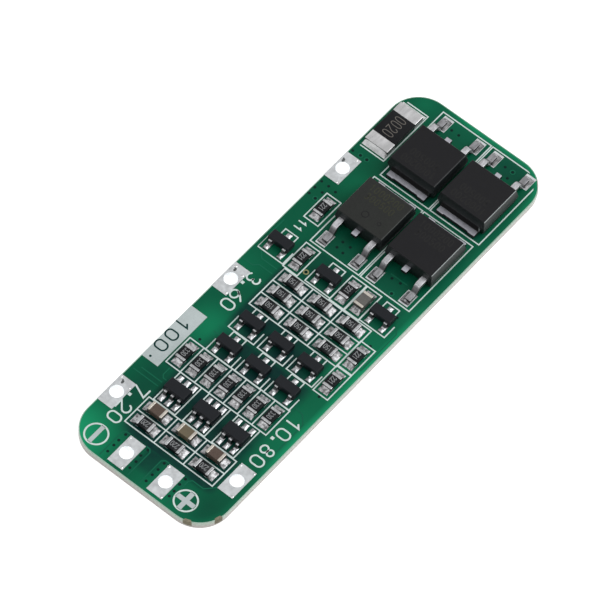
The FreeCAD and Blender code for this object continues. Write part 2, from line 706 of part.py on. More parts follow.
tap_terminal = terminal("tap")
end_terminal = terminal("end")
board = laminate()
resistor_core, resistor_ends = ended_chip(
    "resistor", "chip", "resistor_high", "chip_wall", "chip_wrap", overcoat=True)
capacitor_core, capacitor_ends = ended_chip(
    "capacitor", "chip", "capacitor_high", "chip_wall", "chip_wrap", overcoat=False)
shunt_core, shunt_ends = ended_chip(
    "shunt", "shunt", "shunt_high", "shunt_wall", "shunt_wrap", overcoat=True)
chip_land_pair = chip_lands("chip", "chip")
chip_solder_pair = chip_solder("chip", "chip")
shunt_land_pair = chip_lands("shunt", "shunt")
shunt_solder_pair = chip_solder("shunt", "shunt")
sot_moulding, sot_leads, sot_lands, sot_solder = small_package(
    "sot", [("-1", "sizes.sot_lead_step"), ("-1", "-1 * sizes.sot_lead_step"), ("1", "0")])
ic_moulding, ic_leads, ic_lands, ic_solder = small_package(
    "ic", [(side, f"{step} * sizes.ic_lead_step") for side in ("-1", "1") for step in ("-1", "0", "1")])
fet_moulding, fet_drain, fet_leads, fet_lands, fet_solder = power_package()


# Placing on the board

nodes = []
land_copies = []
solder_copies = []


def placed(master, place_x, place_y, turn=0, height="places.top"):
    """Copy of a master on the board, turned about Z by whole degrees."""
    copy = doc.addObject("App::Link", "placed")
    copy.LinkedObject = master
    spin = FreeCAD.Rotation(FreeCAD.Vector(0, 0, 1), turn)
    copy.Placement = FreeCAD.Placement(FreeCAD.Vector(0, 0, 0), spin)
    copy.setExpression("Placement.Base.x", along(place_x))
    copy.setExpression("Placement.Base.y", across(place_y))
    copy.setExpression("Placement.Base.z", height)
    return copy


def node(label, pieces):
    """Named sub-part that holds the given pieces."""
    group = doc.addObject("Part::Compound", label)
    group.Label = label
    group.Links = pieces
    nodes.append(group)
    return group


def solder_down(lands, solder, place_x, place_y, turn):
    """Lands and solder of one placed component."""
    land_copies.append(placed(lands, place_x, place_y, turn))
    solder_copies.append(placed(solder, place_x, place_y, turn))


def chip_group(label, core, ends, spots, turn):
    """Chips of one kind: one node of cores and one of their plated ends."""
    node(f"{label}_bodies", [placed(core, x, y, turn) for x, y in spots])
    node(f"{label}_ends", [placed(ends, x, y, turn) for x, y in spots])
    for x, y in spots:
        solder_down(chip_land_pair, chip_solder_pair, x, y, turn)


def transistor(label, place_x, place_y):
    """One three-lead signal transistor."""
    node(f"{label}_body", [placed(sot_moulding, place_x, place_y)])
    node(f"{label}_leads", [placed(sot_leads, place_x, place_y)])
    solder_down(sot_lands, sot_solder, place_x, place_y, 0)


ACROSS_BOARD = 90
FACING_BACK = 180

board_copy = doc.addObject("Part::Compound", "circuit_board")
board_copy.Label = "circuit_board"
board_copy.Links = [board]
nodes.append(board_copy)

for label, place_x, place_y, kind in TERMINALS:
    master = tap_terminal if kind == "tap" else end_terminal
    node(label, [placed(master, place_x, place_y, height="0")])

# Three rows: supply resistors, filter capacitors and protection chips
chip_group("supply_resistor", resistor_core, resistor_ends,
           [("places.supply_at", row(number)) for number in range(ROWS)], ACROSS_BOARD)
chip_group("filter_capacitor", capacitor_core, capacitor_ends,
           [("places.filter_at", row(number)) for number in range(ROWS)], ACROSS_BOARD)
for number in range(ROWS):
    spot = ("places.ic_at", row(number))
    node(f"protection_chip_{number + 1}_body", [placed(ic_moulding, *spot)])
    node(f"protection_chip_{number + 1}_leads", [placed(ic_leads, *spot)])
    solder_down(ic_lands, ic_solder, *spot, 0)

# Ladder of seven resistors, one above the other
chip_group("ladder_resistor", resistor_core, resistor_ends,
           [("places.ladder_at", f"(sizes.ladder_start + {step} * places.chip_pitch)")
            for step in range(LADDER_CHIPS)], 0)

# Two columns of signal transistors, then three columns of balance resistors
for column in (1, 2):
    for number in range(ROWS):
        transistor(f"signal_transistor_{ROWS * (column - 1) + number + 1}",
                   f"places.signal_{column}_at", row(number, "sizes.signal_drop"))
chip_group("balance_resistor", resistor_core, resistor_ends,
           [(f"(places.balance_at + {column} * places.chip_pitch)", row(number, "sizes.balance_drop"))
            for column in range(BALANCE_COLUMNS) for number in range(ROWS)], ACROSS_BOARD)

# Control column with the chips at the edge and beside the power transistors
transistor("signal_transistor_7", "places.control_at", "places.control_1")
transistor("signal_transistor_8", "places.control_at", "places.control_4")
transistor("signal_transistor_9", "places.control_at", "places.control_6")
chip_group("control_capacitor", capacitor_core, capacitor_ends,
           [("places.control_at", "places.control_2")], 0)
chip_group("control_resistor", resistor_core, resistor_ends,
           [("places.control_at", "places.control_3"), ("places.control_at", "places.control_5"),
            ("places.pair_1_at", "sizes.pair_start"), ("places.pair_2_at", "sizes.pair_start"),
            ("places.sense_at", "places.sense_up")], 0)

# Power transistors: the left pair's leads face the control column, the right pair's the far end
POWER = (
    ("places.power_1_at", "places.power_high", 0),
    ("places.power_1_at", "places.power_low", 0),
    ("places.power_2_at", "places.power_high", FACING_BACK),
    ("places.power_2_at", "places.power_low", FACING_BACK),
)


def footprint(place_x, place_y, turn):
    """Middle of a power transistor's lands, which it was soldered a little off."""
    if turn == FACING_BACK:
        return f"({place_x} + sizes.right_lands_out)", f"({place_y} - sizes.right_lands_down)"
    return place_x, f"({place_y} + sizes.left_lands_up)"


for number, (place_x, place_y, turn) in enumerate(POWER, start=1):
    node(f"power_transistor_{number}_body", [placed(fet_moulding, place_x, place_y, turn)])
    node(f"power_transistor_{number}_drain_tab", [placed(fet_drain, place_x, place_y, turn)])
    node(f"power_transistor_{number}_leads", [placed(fet_leads, place_x, place_y, turn)])
    land_copies.append(placed(fet_lands, *footprint(place_x, place_y, turn), turn))
    solder_copies.append(placed(fet_solder, place_x, place_y, turn))

node("current_shunt_body", [placed(shunt_core, "places.shunt_at", "places.shunt_up")])
node("current_shunt_ends", [placed(shunt_ends, "places.shunt_at", "places.shunt_up")])
solder_down(shunt_land_pair, shunt_solder_pair, "places.shunt_at", "places.shunt_up", 0)

node("component_lands", land_copies)
node("solder_fillets", solder_copies)


# Printed outlines, one layer of ink

CHIP_INK = "(places.chip_half + sizes.ink_clear + sizes.ink_line)"
SMALL_INK = "(sizes.ink_near + sizes.ink_line)"


def ink_body(name):
    """Body and sketch of one printed figure on the laminate's top."""
    body = new_body(name)
    return body, new_sketch(body, "XY_Plane", "sizes.board_thick")


def ink_cells(name, low_x, low_y, cell_x, cell_y, columns, rows):
    """Table of cells: its middle lines are shared by the cells on both sides."""
    body, sketch = ink_body(name)
    half = "sizes.ink_line / 2"
    rectangle(
        sketch, f"{low_x} - {half}", f"{low_y} - {half}",
        f"{low_x} + {columns} * {cell_x} + {half}", f"{low_y} + {rows} * {cell_y} + {half}",
    )
    for column in range(columns):
        for line in range(rows):
            rectangle(
                sketch, f"{low_x} + {column} * {cell_x} + {half}", f"{low_y} + {line} * {cell_y} + {half}",
                f"{low_x} + {column + 1} * {cell_x} - {half}", f"{low_y} + {line + 1} * {cell_y} - {half}",
            )
    pad(body, sketch, "sizes.ink_thick")
    return body


def ink_box(name, middle_x, middle_y, half_x, half_y):
    """Single box about a component."""
    return ink_cells(name, f"{middle_x} - {half_x}", f"{middle_y} - {half_y}",
                     f"(2 * {half_x})", f"(2 * {half_y})", 1, 1)


def ink_bracket(name, middle_x, middle_y, side, back, arm, half):
    """Square bracket round one side of a component: its back, and two arms towards the middle."""
    body, sketch = ink_body(name)
    line = "sizes.ink_line"
    points = [
        (back, f"-1 * {half}"), (back, half), (arm, half), (arm, f"{half} - {line}"),
        (f"{back} - {line}", f"{half} - {line}"), (f"{back} - {line}", f"-1 * {half} + {line}"),
        (arm, f"-1 * {half} + {line}"), (arm, f"-1 * {half}"),
    ]
    closed_outline(sketch, [(f"{middle_x} + {side} * ({x})", f"{middle_y} + {y}") for x, y in points])
    pad(body, sketch, "sizes.ink_thick")
    return body


ink = []
row_low = across(f"({row(0)} - sizes.row_pitch / 2)")
ink.append(ink_cells("ink_supply", along("(places.supply_at - places.chip_pitch / 2)"), row_low,
                     "places.chip_pitch", "sizes.row_pitch", 2, ROWS))
ink.append(ink_cells(
    "ink_ladder", along("(places.ladder_at - places.chip_half - sizes.ink_clear - sizes.ink_line / 2)"),
    across("(sizes.ladder_start - places.chip_pitch / 2)"),
    "(2 * places.chip_half + 2 * sizes.ink_clear + sizes.ink_line)", "places.chip_pitch", 1, LADDER_CHIPS))
ink.append(ink_cells("ink_balance", along("(places.balance_at - places.chip_pitch / 2)"),
                     across(f"({row(0, 'sizes.balance_drop')} - sizes.row_pitch / 2)"),
                     "places.chip_pitch", "sizes.row_pitch", BALANCE_COLUMNS, ROWS))
for number in range(ROWS):
    ink.append(ink_bracket(
        f"ink_ic_{number + 1}", along("places.ic_at"), across(row(number)), "-1",
        f"(places.ic_half + {SMALL_INK})",
        "(-1 * (places.ic_half + sizes.ics_to_ladder - sizes.ink_clear))",
        f"(sizes.ic_long / 2 + {SMALL_INK} / 2)"))

signal_spots = [(f"places.signal_{column}_at", row(number, "sizes.signal_drop"))
                for column in (1, 2) for number in range(ROWS)]
signal_spots += [("places.control_at", f"places.control_{number}") for number in (1, 4, 6)]
for number, (place_x, place_y) in enumerate(signal_spots, start=1):
    ink.append(ink_bracket(
        f"ink_signal_{number}_left", along(place_x), across(place_y), "-1",
        f"(places.sot_half + {SMALL_INK})", "0.05 * sizes.sot_wide",
        f"(sizes.sot_long / 2 + {SMALL_INK} + sizes.ink_line / 2)"))
    ink.append(ink_bracket(
        f"ink_signal_{number}_right", along(place_x), across(place_y), "1",
        f"(places.sot_half + {SMALL_INK})", "(sizes.sot_wide / 2 + sizes.ink_clear)",
        f"(sizes.sot_lead_wide / 2 + sizes.small_land_side + sizes.ink_clear + 2 * sizes.ink_line)"))

box_half = "(places.chip_half + sizes.ink_clear + sizes.ink_line / 2)"
for name, place_x, place_y in (
    ("ink_control_2", "places.control_at", "places.control_2"),
    ("ink_control_3", "places.control_at", "places.control_3"),
    ("ink_control_5", "places.control_at", "places.control_5"),
    ("ink_pair_1", "places.pair_1_at", "sizes.pair_start"),
    ("ink_pair_2", "places.pair_2_at", "sizes.pair_start"),
    ("ink_sense", "places.sense_at", "places.sense_up"),
):
    ink.append(ink_box(name, along(place_x), across(place_y), box_half, "(places.chip_pitch / 2)"))

for number, (place_x, place_y, turn) in enumerate(POWER, start=1):
    middle_x, middle_y = footprint(place_x, place_y, turn)
    lead_side = "(places.fet_half + sizes.ink_clear)"
    tab_side = "(places.tab_half + sizes.fet_land_side + sizes.ink_near)"
    left, right = (tab_side, lead_side) if turn else (lead_side, tab_side)
    half = "(sizes.fet_wide / 2 + sizes.ink_near)"
    ink.append(ink_cells(f"ink_power_{number}", along(f"({middle_x} - {left})"),
                         across(f"({middle_y} - {half})"), f"({left} + {right})", f"(2 * {half})", 1, 1))

shunt_half = "(places.shunt_half + sizes.ink_clear)"
shunt_low = "(places.shunt_up - sizes.shunt_wide / 2 - sizes.ink_near)"
ink.append(ink_cells("ink_shunt", along(f"(places.shunt_at - {shunt_half})"), across(shunt_low),
                     f"(2 * {shunt_half})", "sizes.shunt_wide * 2", 1, 1))

printed = doc.addObject("Part::MultiFuse", "printed")
printed.Shapes = ink
printed.Refine = True
printable, printable_sketch = ink_body("printable")
board_outline(printable_sketch, "sizes.ink_margin")
pad(printable, printable_sketch, "sizes.ink_thick")
layer = doc.addObject("Part::Common", "silkscreen_outlines")
layer.Label = "silkscreen_outlines"
layer.Base = printed
layer.Tool = printable
nodes.append(layer)


# Recompute, check and write

doc.recompute()

for item in doc.Objects:
    if "Invalid" in item.State or "Error" in item.State:
        raise RuntimeError(f"{item.Label} failed to recompute: {item.State}")
for item in nodes:
    if item.Shape.isNull() or not item.Shape.isValid() or not item.Shape.Solids:
        raise RuntimeError(f"{item.Label} has no valid solid")

os.makedirs("parts", exist_ok=True)
for item in nodes:
    item.Shape.exportStep(os.path.join("parts", f"{item.Label}.step"))

box = Part.makeCompound([item.Shape for item in nodes]).BoundBox
print(f"{len(nodes)} nodes, {box.XLength:.2f} x {box.YLength:.2f} x {box.ZLength:.2f} mm")
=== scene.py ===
"""Look of the battery management board: materials, rounded pieces, solder, print, light and camera.

Lengths in this file are millimetres in the part's frame unless a name says otherwise.
"""

import math
import random

import bmesh
import bpy
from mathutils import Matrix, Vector, noise

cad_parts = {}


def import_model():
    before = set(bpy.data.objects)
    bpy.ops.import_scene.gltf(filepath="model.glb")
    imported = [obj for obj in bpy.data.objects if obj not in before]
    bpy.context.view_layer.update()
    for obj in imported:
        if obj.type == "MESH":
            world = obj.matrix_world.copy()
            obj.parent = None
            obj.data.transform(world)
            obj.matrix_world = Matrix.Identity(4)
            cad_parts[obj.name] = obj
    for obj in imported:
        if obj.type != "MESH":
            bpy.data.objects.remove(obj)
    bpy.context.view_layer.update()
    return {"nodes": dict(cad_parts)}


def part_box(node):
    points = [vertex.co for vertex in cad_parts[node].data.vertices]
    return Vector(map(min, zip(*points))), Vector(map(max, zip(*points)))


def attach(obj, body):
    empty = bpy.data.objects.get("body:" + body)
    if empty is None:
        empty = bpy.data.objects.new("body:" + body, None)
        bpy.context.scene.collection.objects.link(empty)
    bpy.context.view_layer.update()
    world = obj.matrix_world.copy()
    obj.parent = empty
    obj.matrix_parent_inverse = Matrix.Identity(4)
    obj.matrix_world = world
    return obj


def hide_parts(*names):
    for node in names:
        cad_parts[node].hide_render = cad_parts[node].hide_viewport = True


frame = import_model()
NODES = frame["nodes"]
MM = 0.001
PER_METRE = 1000.0
rng = random.Random(11)

# Levels and outline of the board
BOARD_TOP = 1.0
LAND_TOP = 1.05
INK_THICK = 0.03
INK_TOP = BOARD_TOP + INK_THICK
HALF_LONG, HALF_WIDE, CORNER = 29.75, 9.8, 3.9


# Mesh helpers

def to_object(name, bm, material, smooth=True, bevel=0.0, segments=2, angle=35):
    """Object from a bmesh in millimetres, with a bevel modifier where bevel is given."""
    bmesh.ops.recalc_face_normals(bm, faces=bm.faces)
    for vert in bm.verts:
        vert.co *= MM
    mesh = bpy.data.meshes.new(name)
    bm.to_mesh(mesh)
    bm.free()
    for face in mesh.polygons:
        face.use_smooth = smooth
    mesh.materials.append(material)
    obj = bpy.data.objects.new(name, mesh)
    bpy.context.scene.collection.objects.link(obj)
    if bevel:
        soft = obj.modifiers.new("edges", "BEVEL")
        soft.width = bevel * MM
        soft.segments = segments
        soft.limit_method = "ANGLE"
        soft.angle_limit = math.radians(angle)
        soft.harden_normals = True
    elif smooth:
        mesh.set_sharp_from_angle(angle=math.radians(angle))
    return obj


def piece(name, bm, material, slot, stands_for=(), **look):
    """Piece of the object that rides on the board, in place of the CAD nodes that it stands for."""
    obj = to_object(name, bm, material, **look)
    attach(obj, "root")
    if stands_for:
        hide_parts(*stands_for)


def loft(bm, rings):
    """Closed skin over rings of equal length, each a list of (x, y, z)."""
    layers = [[bm.verts.new(co) for co in ring] for ring in rings]
    count = len(layers[0])
    bm.faces.new(layers[0][::-1])
    bm.faces.new(layers[-1])
    for low, high in zip(layers, layers[1:]):
        for i in range(count):
            j = (i + 1) % count
            bm.faces.new((low[i], low[j], high[j], high[i]))


def prism(bm, outline, z0, z1):
    """Closed prism over an outline of (x, y) points."""
    loft(bm, [[(*point, z) for point in outline] for z in (z0, z1)])


def rectangle(x0, x1, y0, y1):
    """Corners of a rectangle."""
    return [(x0, y0), (x1, y0), (x1, y1), (x0, y1)]


def placed(points, cx, cy, sign):
    """Points moved to a package's middle, turned round where sign is -1."""
    return [(cx + sign * x, cy + sign * y) for x, y in points]


def turned(points, x, y, turn):
    """Points turned about the origin by some degrees, then moved."""
    c, s = math.cos(math.radians(turn)), math.sin(math.radians(turn))
    return [(x + c * u - s * v, y + s * u + c * v) for u, v in points]


def arc(cx, cy, r, start, end, steps=8):
    """Points on a circle, angles in degrees."""
    turns = [math.radians(start + (end - start) * i / steps) for i in range(steps + 1)]
    return [(cx + r * math.cos(turn), cy + r * math.sin(turn)) for turn in turns]


def circle(cx, cy, r, steps):
    """Points all the way round a circle."""
    return arc(cx, cy, r, 0, 360, steps)[:-1]


def ribbon(bm, points, wide, z0, z1, closed=False):
    """Flat ribbon with round ends along a line of (x, y) points."""
    spots = [Vector(point) for point in points]
    widths = [1.0] * len(spots)
    if not closed:
        # Round ends: the line is carried on by half its width, and narrows there
        first, last = (spots[0] - spots[1]).normalized(), (spots[-1] - spots[-2]).normalized()
        reach = [(math.sin(math.radians(a)), math.cos(math.radians(a))) for a in (85, 65, 40, 20)]
        heads = [spots[0] + first * wide / 2 * far for far, _ in reach]
        tails = [spots[-1] + last * wide / 2 * far for far, _ in reach[::-1]]
        spots = heads + spots + tails
        widths = [near for _, near in reach] + widths + [near for _, near in reach[::-1]]
    count = len(spots)
    ways = [(after - here).normalized() for here, after in zip(spots, spots[1:] + spots[:1])]
    if not closed:
        ways[-1] = ways[-2]
    quads = []
    for i, here in enumerate(spots):
        before = ways[i - 1] if closed or i else ways[0]
        both = before + ways[i]
        tangent = both.normalized() if both.length > 1e-6 else before
        side = Vector((-tangent.y, tangent.x))
        # A sharp bend is widened so that both its arms keep their width
        stretch = 1 / max(0.4, abs(side.dot(Vector((-before.y, before.x)))))
        offset = side * wide / 2 * stretch * widths[i]
        left, right = here + offset, here - offset
        quads.append([bm.verts.new((*p, z)) for p, z in ((left, z0), (left, z1), (right, z1), (right, z0))])
    for i in range(count if closed else count - 1):
        a, b = quads[i], quads[(i + 1) % count]
        for k in range(4):
            bm.faces.new((a[k], a[(k + 1) % 4], b[(k + 1) % 4], b[k]))
    if not closed:
        bm.faces.new(quads[0][::-1])
        bm.faces.new(quads[-1])


def islands(name):
    """Solids in a CAD node, each as its low corner, its high corner and its points, in millimetres."""
    bm = bmesh.new()
    bm.from_mesh(NODES[name].data)
    bmesh.ops.remove_doubles(bm, verts=bm.verts, dist=1e-7)
    left = set(bm.verts)
    solids = []
    while left:
        stack = [left.pop()]
        group = []
        while stack:
            vert = stack.pop()
            group.append(vert.co / MM)
            for edge in vert.link_edges:
                other = edge.other_vert(vert)
                if other in left:
                    left.remove(other)
                    stack.append(other)
        low, high = ([pick(co[i] for co in group) for i in range(3)] for pick in (min, max))
        solids.append((low, high, group))
    bm.free()
    return sorted(solids, key=lambda entry: (round(entry[0][0], 2), round(entry[0][1], 2)))


def middle(name):
    """Middle of a CAD node's box, seen from above."""
    low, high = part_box(name)
    return (low[0] + high[0]) / 2 / MM, (low[1] + high[1]) / 2 / MM


# Material helpers

def principled(name, color, rough, metal=0.0, specular=0.5):
    """Principled material with its nodes ready for more."""
    material = bpy.data.materials.new(name)
    material.use_nodes = True
    shader = material.node_tree.nodes["Principled BSDF"]
    shader.inputs["Base Color"].default_value = (*color, 1)
    for key, value in (("Roughness", rough), ("Metallic", metal), ("Specular IOR Level", specular)):
        shader.inputs[key].default_value = value
    return material, material.node_tree, shader


def calc(tree, operation, *values):
    """Math node over sockets and numbers."""
    node = tree.nodes.new("ShaderNodeMath")
    node.operation = operation
    for socket, value in zip(node.inputs, values):
        if isinstance(value, bpy.types.NodeSocket):
            tree.links.new(value, socket)
        else:
            socket.default_value = value
    return node.outputs[0]


def coordinates(tree):
    """Object coordinates, which are the part's frame in metres."""
    return tree.nodes.new("ShaderNodeTexCoord").outputs["Object"]


def component(tree, vector, axis):
    """One component of a vector."""
    split = tree.nodes.new("ShaderNodeSeparateXYZ")
    tree.links.new(vector, split.inputs[0])
    return split.outputs[axis]


def along(tree, axis):
    """Place along one axis of the part, in millimetres."""
    return calc(tree, "MULTIPLY", component(tree, coordinates(tree), axis), PER_METRE)


def normal_part(tree, axis):
    """One component of the surface's direction."""
    return component(tree, tree.nodes.new("ShaderNodeNewGeometry").outputs["Normal"], axis)


def noise_at(tree, scale_mm, detail, stretch=None):
    """Noise whose features are about scale_mm across."""
    place = coordinates(tree)
    if stretch:
        mapping = tree.nodes.new("ShaderNodeMapping")
        mapping.inputs["Scale"].default_value = stretch
        tree.links.new(place, mapping.inputs["Vector"])
        place = mapping.outputs["Vector"]
    texture = tree.nodes.new("ShaderNodeTexNoise")
    for key, value in (("Scale", 1 / (scale_mm * MM)), ("Detail", detail), ("Roughness", 0.55)):
        texture.inputs[key].default_value = value
    tree.links.new(place, texture.inputs["Vector"])
    return texture.outputs["Fac"]


def ramp(tree, fac, stops):
    """Colour ramp from (position, colour) pairs."""
    node = tree.nodes.new("ShaderNodeValToRGB")
    elements = node.color_ramp.elements
    while len(elements) < len(stops):
        elements.new(0.5)
    for element, (position, color) in zip(elements, stops):
        element.position = position
        element.color = (*color, 1)
    tree.links.new(fac, node.inputs["Fac"])
    return node.outputs["Color"]


def spread(tree, fac, low, high, start=0.3, end=0.7, kind="LINEAR"):
    """Number from low to high as fac goes from start to end."""
    node = tree.nodes.new("ShaderNodeMapRange")
    node.interpolation_type = kind
    for key, value in (("From Min", start), ("From Max", end), ("To Min", low), ("To Max", high)):
        node.inputs[key].default_value = value
    tree.links.new(fac, node.inputs["Value"])
    return node.outputs["Result"]


def blend(tree, fac, first, second, mode="MIX"):
    """Mix of two colours, each a socket or a tuple."""
    node = tree.nodes.new("ShaderNodeMix")
    node.data_type = "RGBA"
    node.blend_type = mode
    for key, value in (("Factor", fac), ("A", first), ("B", second)):
        socket = [entry for entry in node.inputs if entry.name == key and entry.enabled][0]
        if isinstance(value, bpy.types.NodeSocket):
            tree.links.new(value, socket)
        elif key == "Factor":
            socket.default_value = value
        else:
            socket.default_value = (*value, 1)
    return [entry for entry in node.outputs if entry.enabled][0]


def shaded(tree, color, fac, stops):
    """Colour multiplied by greys from (position, grey) pairs."""
    greys = ramp(tree, fac, [(position, (grey,) * 3) for position, grey in stops])
    return blend(tree, 1.0, color, greys, "MULTIPLY")


def surface(tree, shader, color, fine, roughness, strength, depth_mm):
    """Colour, with a roughness between two limits and a bump that both follow a fine noise."""
    tree.links.new(color, shader.inputs["Base Color"])
    tree.links.new(spread(tree, fine, *roughness), shader.inputs["Roughness"])
    node = tree.nodes.new("ShaderNodeBump")
    node.inputs["Strength"].default_value = strength
    node.inputs["Distance"].default_value = depth_mm * MM
    tree.links.new(fine, node.inputs["Height"])
    tree.links.new(node.outputs["Normal"], shader.inputs["Normal"])


def level_faces(tree, low, high):
    """One on level faces and nothing on upright ones."""
    return spread(tree, calc(tree, "ABSOLUTE", normal_part(tree, "Z")), 0.0, 1.0, low, high)


def edge_distance(tree):
    """Distance in millimetres from the board's outline, negative inside it."""
    beyond = []
    for axis, half in (("X", HALF_LONG), ("Y", HALF_WIDE)):
        away = calc(tree, "ABSOLUTE", along(tree, axis))
        beyond.append(calc(tree, "SUBTRACT", away, half - CORNER))
    outside = [calc(tree, "MAXIMUM", value, 0.0) for value in beyond]
    squares = [calc(tree, "MULTIPLY", value, value) for value in outside]
    rounded = calc(tree, "SQRT", calc(tree, "ADD", *squares))
    inside = calc(tree, "MINIMUM", calc(tree, "MAXIMUM", *beyond), 0.0)
    return calc(tree, "SUBTRACT", calc(tree, "ADD", rounded, inside), CORNER)


def spot(tree, x, y, radius):
    """One at a point of the board, falling to nothing at the radius, in millimetres."""
    near = tree.nodes.new("ShaderNodeVectorMath")
    near.operation = "DISTANCE"
    tree.links.new(coordinates(tree), near.inputs[0])
    near.inputs[1].default_value = (x * MM, y * MM, BOARD_TOP * MM)
    return spread(tree, near.outputs["Value"], 1.0, 0.0, 0.0, radius * MM, "SMOOTHSTEP")


def band(tree, value, low, high, soft):
    """One between two limits in millimetres, falling off over the softness."""
    rise = spread(tree, value, 0.0, 1.0, low - soft, low + soft)
    fall = spread(tree, value, 1.0, 0.0, high - soft, high + soft)
    return calc(tree, "MULTIPLY", rise, fall)


# Solder mask

MASK_GREEN = (0.001, 0.092, 0.043)
MASK_BRIGHT = (0.008, 0.330, 0.145)
MASK_DARK = (0.002, 0.030, 0.028)
LAMINATE_EDGE = (0.66, 0.75, 0.67)
LAMINATE_LOW = (0.70, 0.67, 0.65)

# Where light from the table comes through the laminate: middle, radius and strength
GLOWS = (
    (-29.3, 9.3, 7.5, 1.0), (-29.8, -3.0, 6.0, 0.25), (-14.0, -9.8, 9.0, 0.28), (-9.5, 6.6, 4.5, 0.40),
    (-3.0, -9.6, 8.0, 0.30), (5.0, -9.6, 6.0, 0.15), (29.4, 2.0, 6.0, 0.15), (-1.0, 9.3, 4.0, 0.15),
    (15.0, 6.5, 3.0, 0.15), (28.6, 7.4, 2.0, 0.15),
)

# Where the mask covers bare laminate instead of copper: x and y limits, softness and strength
BARE = (
    (-25.3, -8.3, -6.9, 5.7, 0.5, 0.95), (-8.3, 1.7, -6.3, 5.6, 0.3, 0.90),
    (1.9, 5.9, -8.3, 5.9, 0.3, 0.45), (-16.2, -11.7, 5.4, 7.3, 0.2, 0.80),
    (6.3, 10.5, -8.1, 5.5, 0.6, 0.25), (26.6, 28.9, -7.4, 5.2, 0.4, 0.35),
    (-24.4, -16.4, 5.7, 8.6, 0.8, 0.35), (-29.0, -25.2, -9.0, -6.6, 1.2, 0.25),
    (18.0, 19.9, -8.4, 5.4, 0.3, 0.45), (-27.9, -25.0, -0.7, 1.4, 0.5, 0.85),
    (-8.4, -0.4, -8.9, -6.9, 0.3, 0.30), (8.2, 12.1, 6.1, 7.9, 0.2, 0.35),
    (-25.5, -24.3, -5.9, 4.9, 0.35, 0.95),
)

# Stretches along the board where the mask's rim is less pale
QUIET_RIM = ((6.0, 24.5), (-40.0, -19.5))


def without_copper(tree, color):
    """Mask that is darker where it covers bare laminate."""
    x, y = along(tree, "X"), along(tree, "Y")
    cover = 0.0
    for x0, x1, y0, y1, soft, strength in BARE:
        inside = calc(tree, "MULTIPLY", band(tree, x, x0, x1, soft), band(tree, y, y0, y1, soft))
        cover = calc(tree, "MAXIMUM", cover, calc(tree, "MULTIPLY", inside, strength))
    patchy = spread(tree, noise_at(tree, 1.6, 2.0), 0.80, 1.12)
    cover = calc(tree, "MINIMUM", calc(tree, "MULTIPLY", cover, patchy), 1.0)
    return blend(tree, cover, color, MASK_DARK)


def lit_through(tree, color):
    """Mask that is paler along the rim and where light comes through the laminate."""
    x, y = along(tree, "X"), along(tree, "Y")
    far_end = calc(tree, "MULTIPLY", calc(tree, "SUBTRACT", x, 26.0), 0.3)
    near = calc(tree, "MULTIPLY_ADD", y, -0.1, calc(tree, "MAXIMUM", far_end, 0.0))
    quiet = calc(tree, "MAXIMUM", *[band(tree, x, start, end, 2.5) for start, end in QUIET_RIM])
    weaker = calc(tree, "MULTIPLY_ADD", quiet, -0.75, 1.0)
    near = calc(tree, "MULTIPLY", spread(tree, near, 0.0, 0.50, 0.55, 0.90), weaker)
    light = calc(tree, "MULTIPLY", spread(tree, edge_distance(tree), 0.0, 1.0, -0.85, -0.25), near)
    for spot_x, spot_y, radius, strength in GLOWS:
        shine = calc(tree, "MULTIPLY", spot(tree, spot_x, spot_y, radius), strength)
        light = calc(tree, "ADD", light, shine)
    return blend(tree, calc(tree, "MINIMUM", light, 1.0), color, MASK_BRIGHT)


def cut_faces(tree, color):
    """Mask on level faces and laminate on the cut ones, which stand upright."""
    cut = blend(tree, spread(tree, along(tree, "Z"), 0.0, 1.0, 0.40, 0.62), LAMINATE_LOW, LAMINATE_EDGE)
    fibres = noise_at(tree, 0.25, 4.0, stretch=(1, 1, 4))
    fibres = ramp(tree, fibres, [(0.33, (0.74, 0.71, 0.66)), (0.55, (1, 1, 1))])
    cut = blend(tree, 1.0, cut, fibres, "MULTIPLY")
    return blend(tree, level_faces(tree, 0.4, 0.6), cut, color)


def mask_look(name, low, high, board=False):
    """Glossy solder mask, mottled between two greens, with darker and paler parts on the board."""
    material, tree, shader = principled(name, low, rough=0.38, specular=0.11)
    color = ramp(tree, noise_at(tree, 9.0, 2.0), [(0.30, low), (0.72, high)])
    if board:
        color = cut_faces(tree, lit_through(tree, without_copper(tree, color)))
    surface(tree, shader, color, noise_at(tree, 0.30, 4.0), (0.30, 0.46), 0.2, 0.012)
    return material


mask_board = mask_look("solder_mask", MASK_GREEN, (0.001, 0.112, 0.055), board=True)
mask_dark = mask_look("mask_over_laminate", MASK_DARK, (0.003, 0.046, 0.040))
mask_trace = mask_look("mask_over_trace", (0.006, 0.124, 0.066), (0.008, 0.142, 0.077))


# Metal and solder

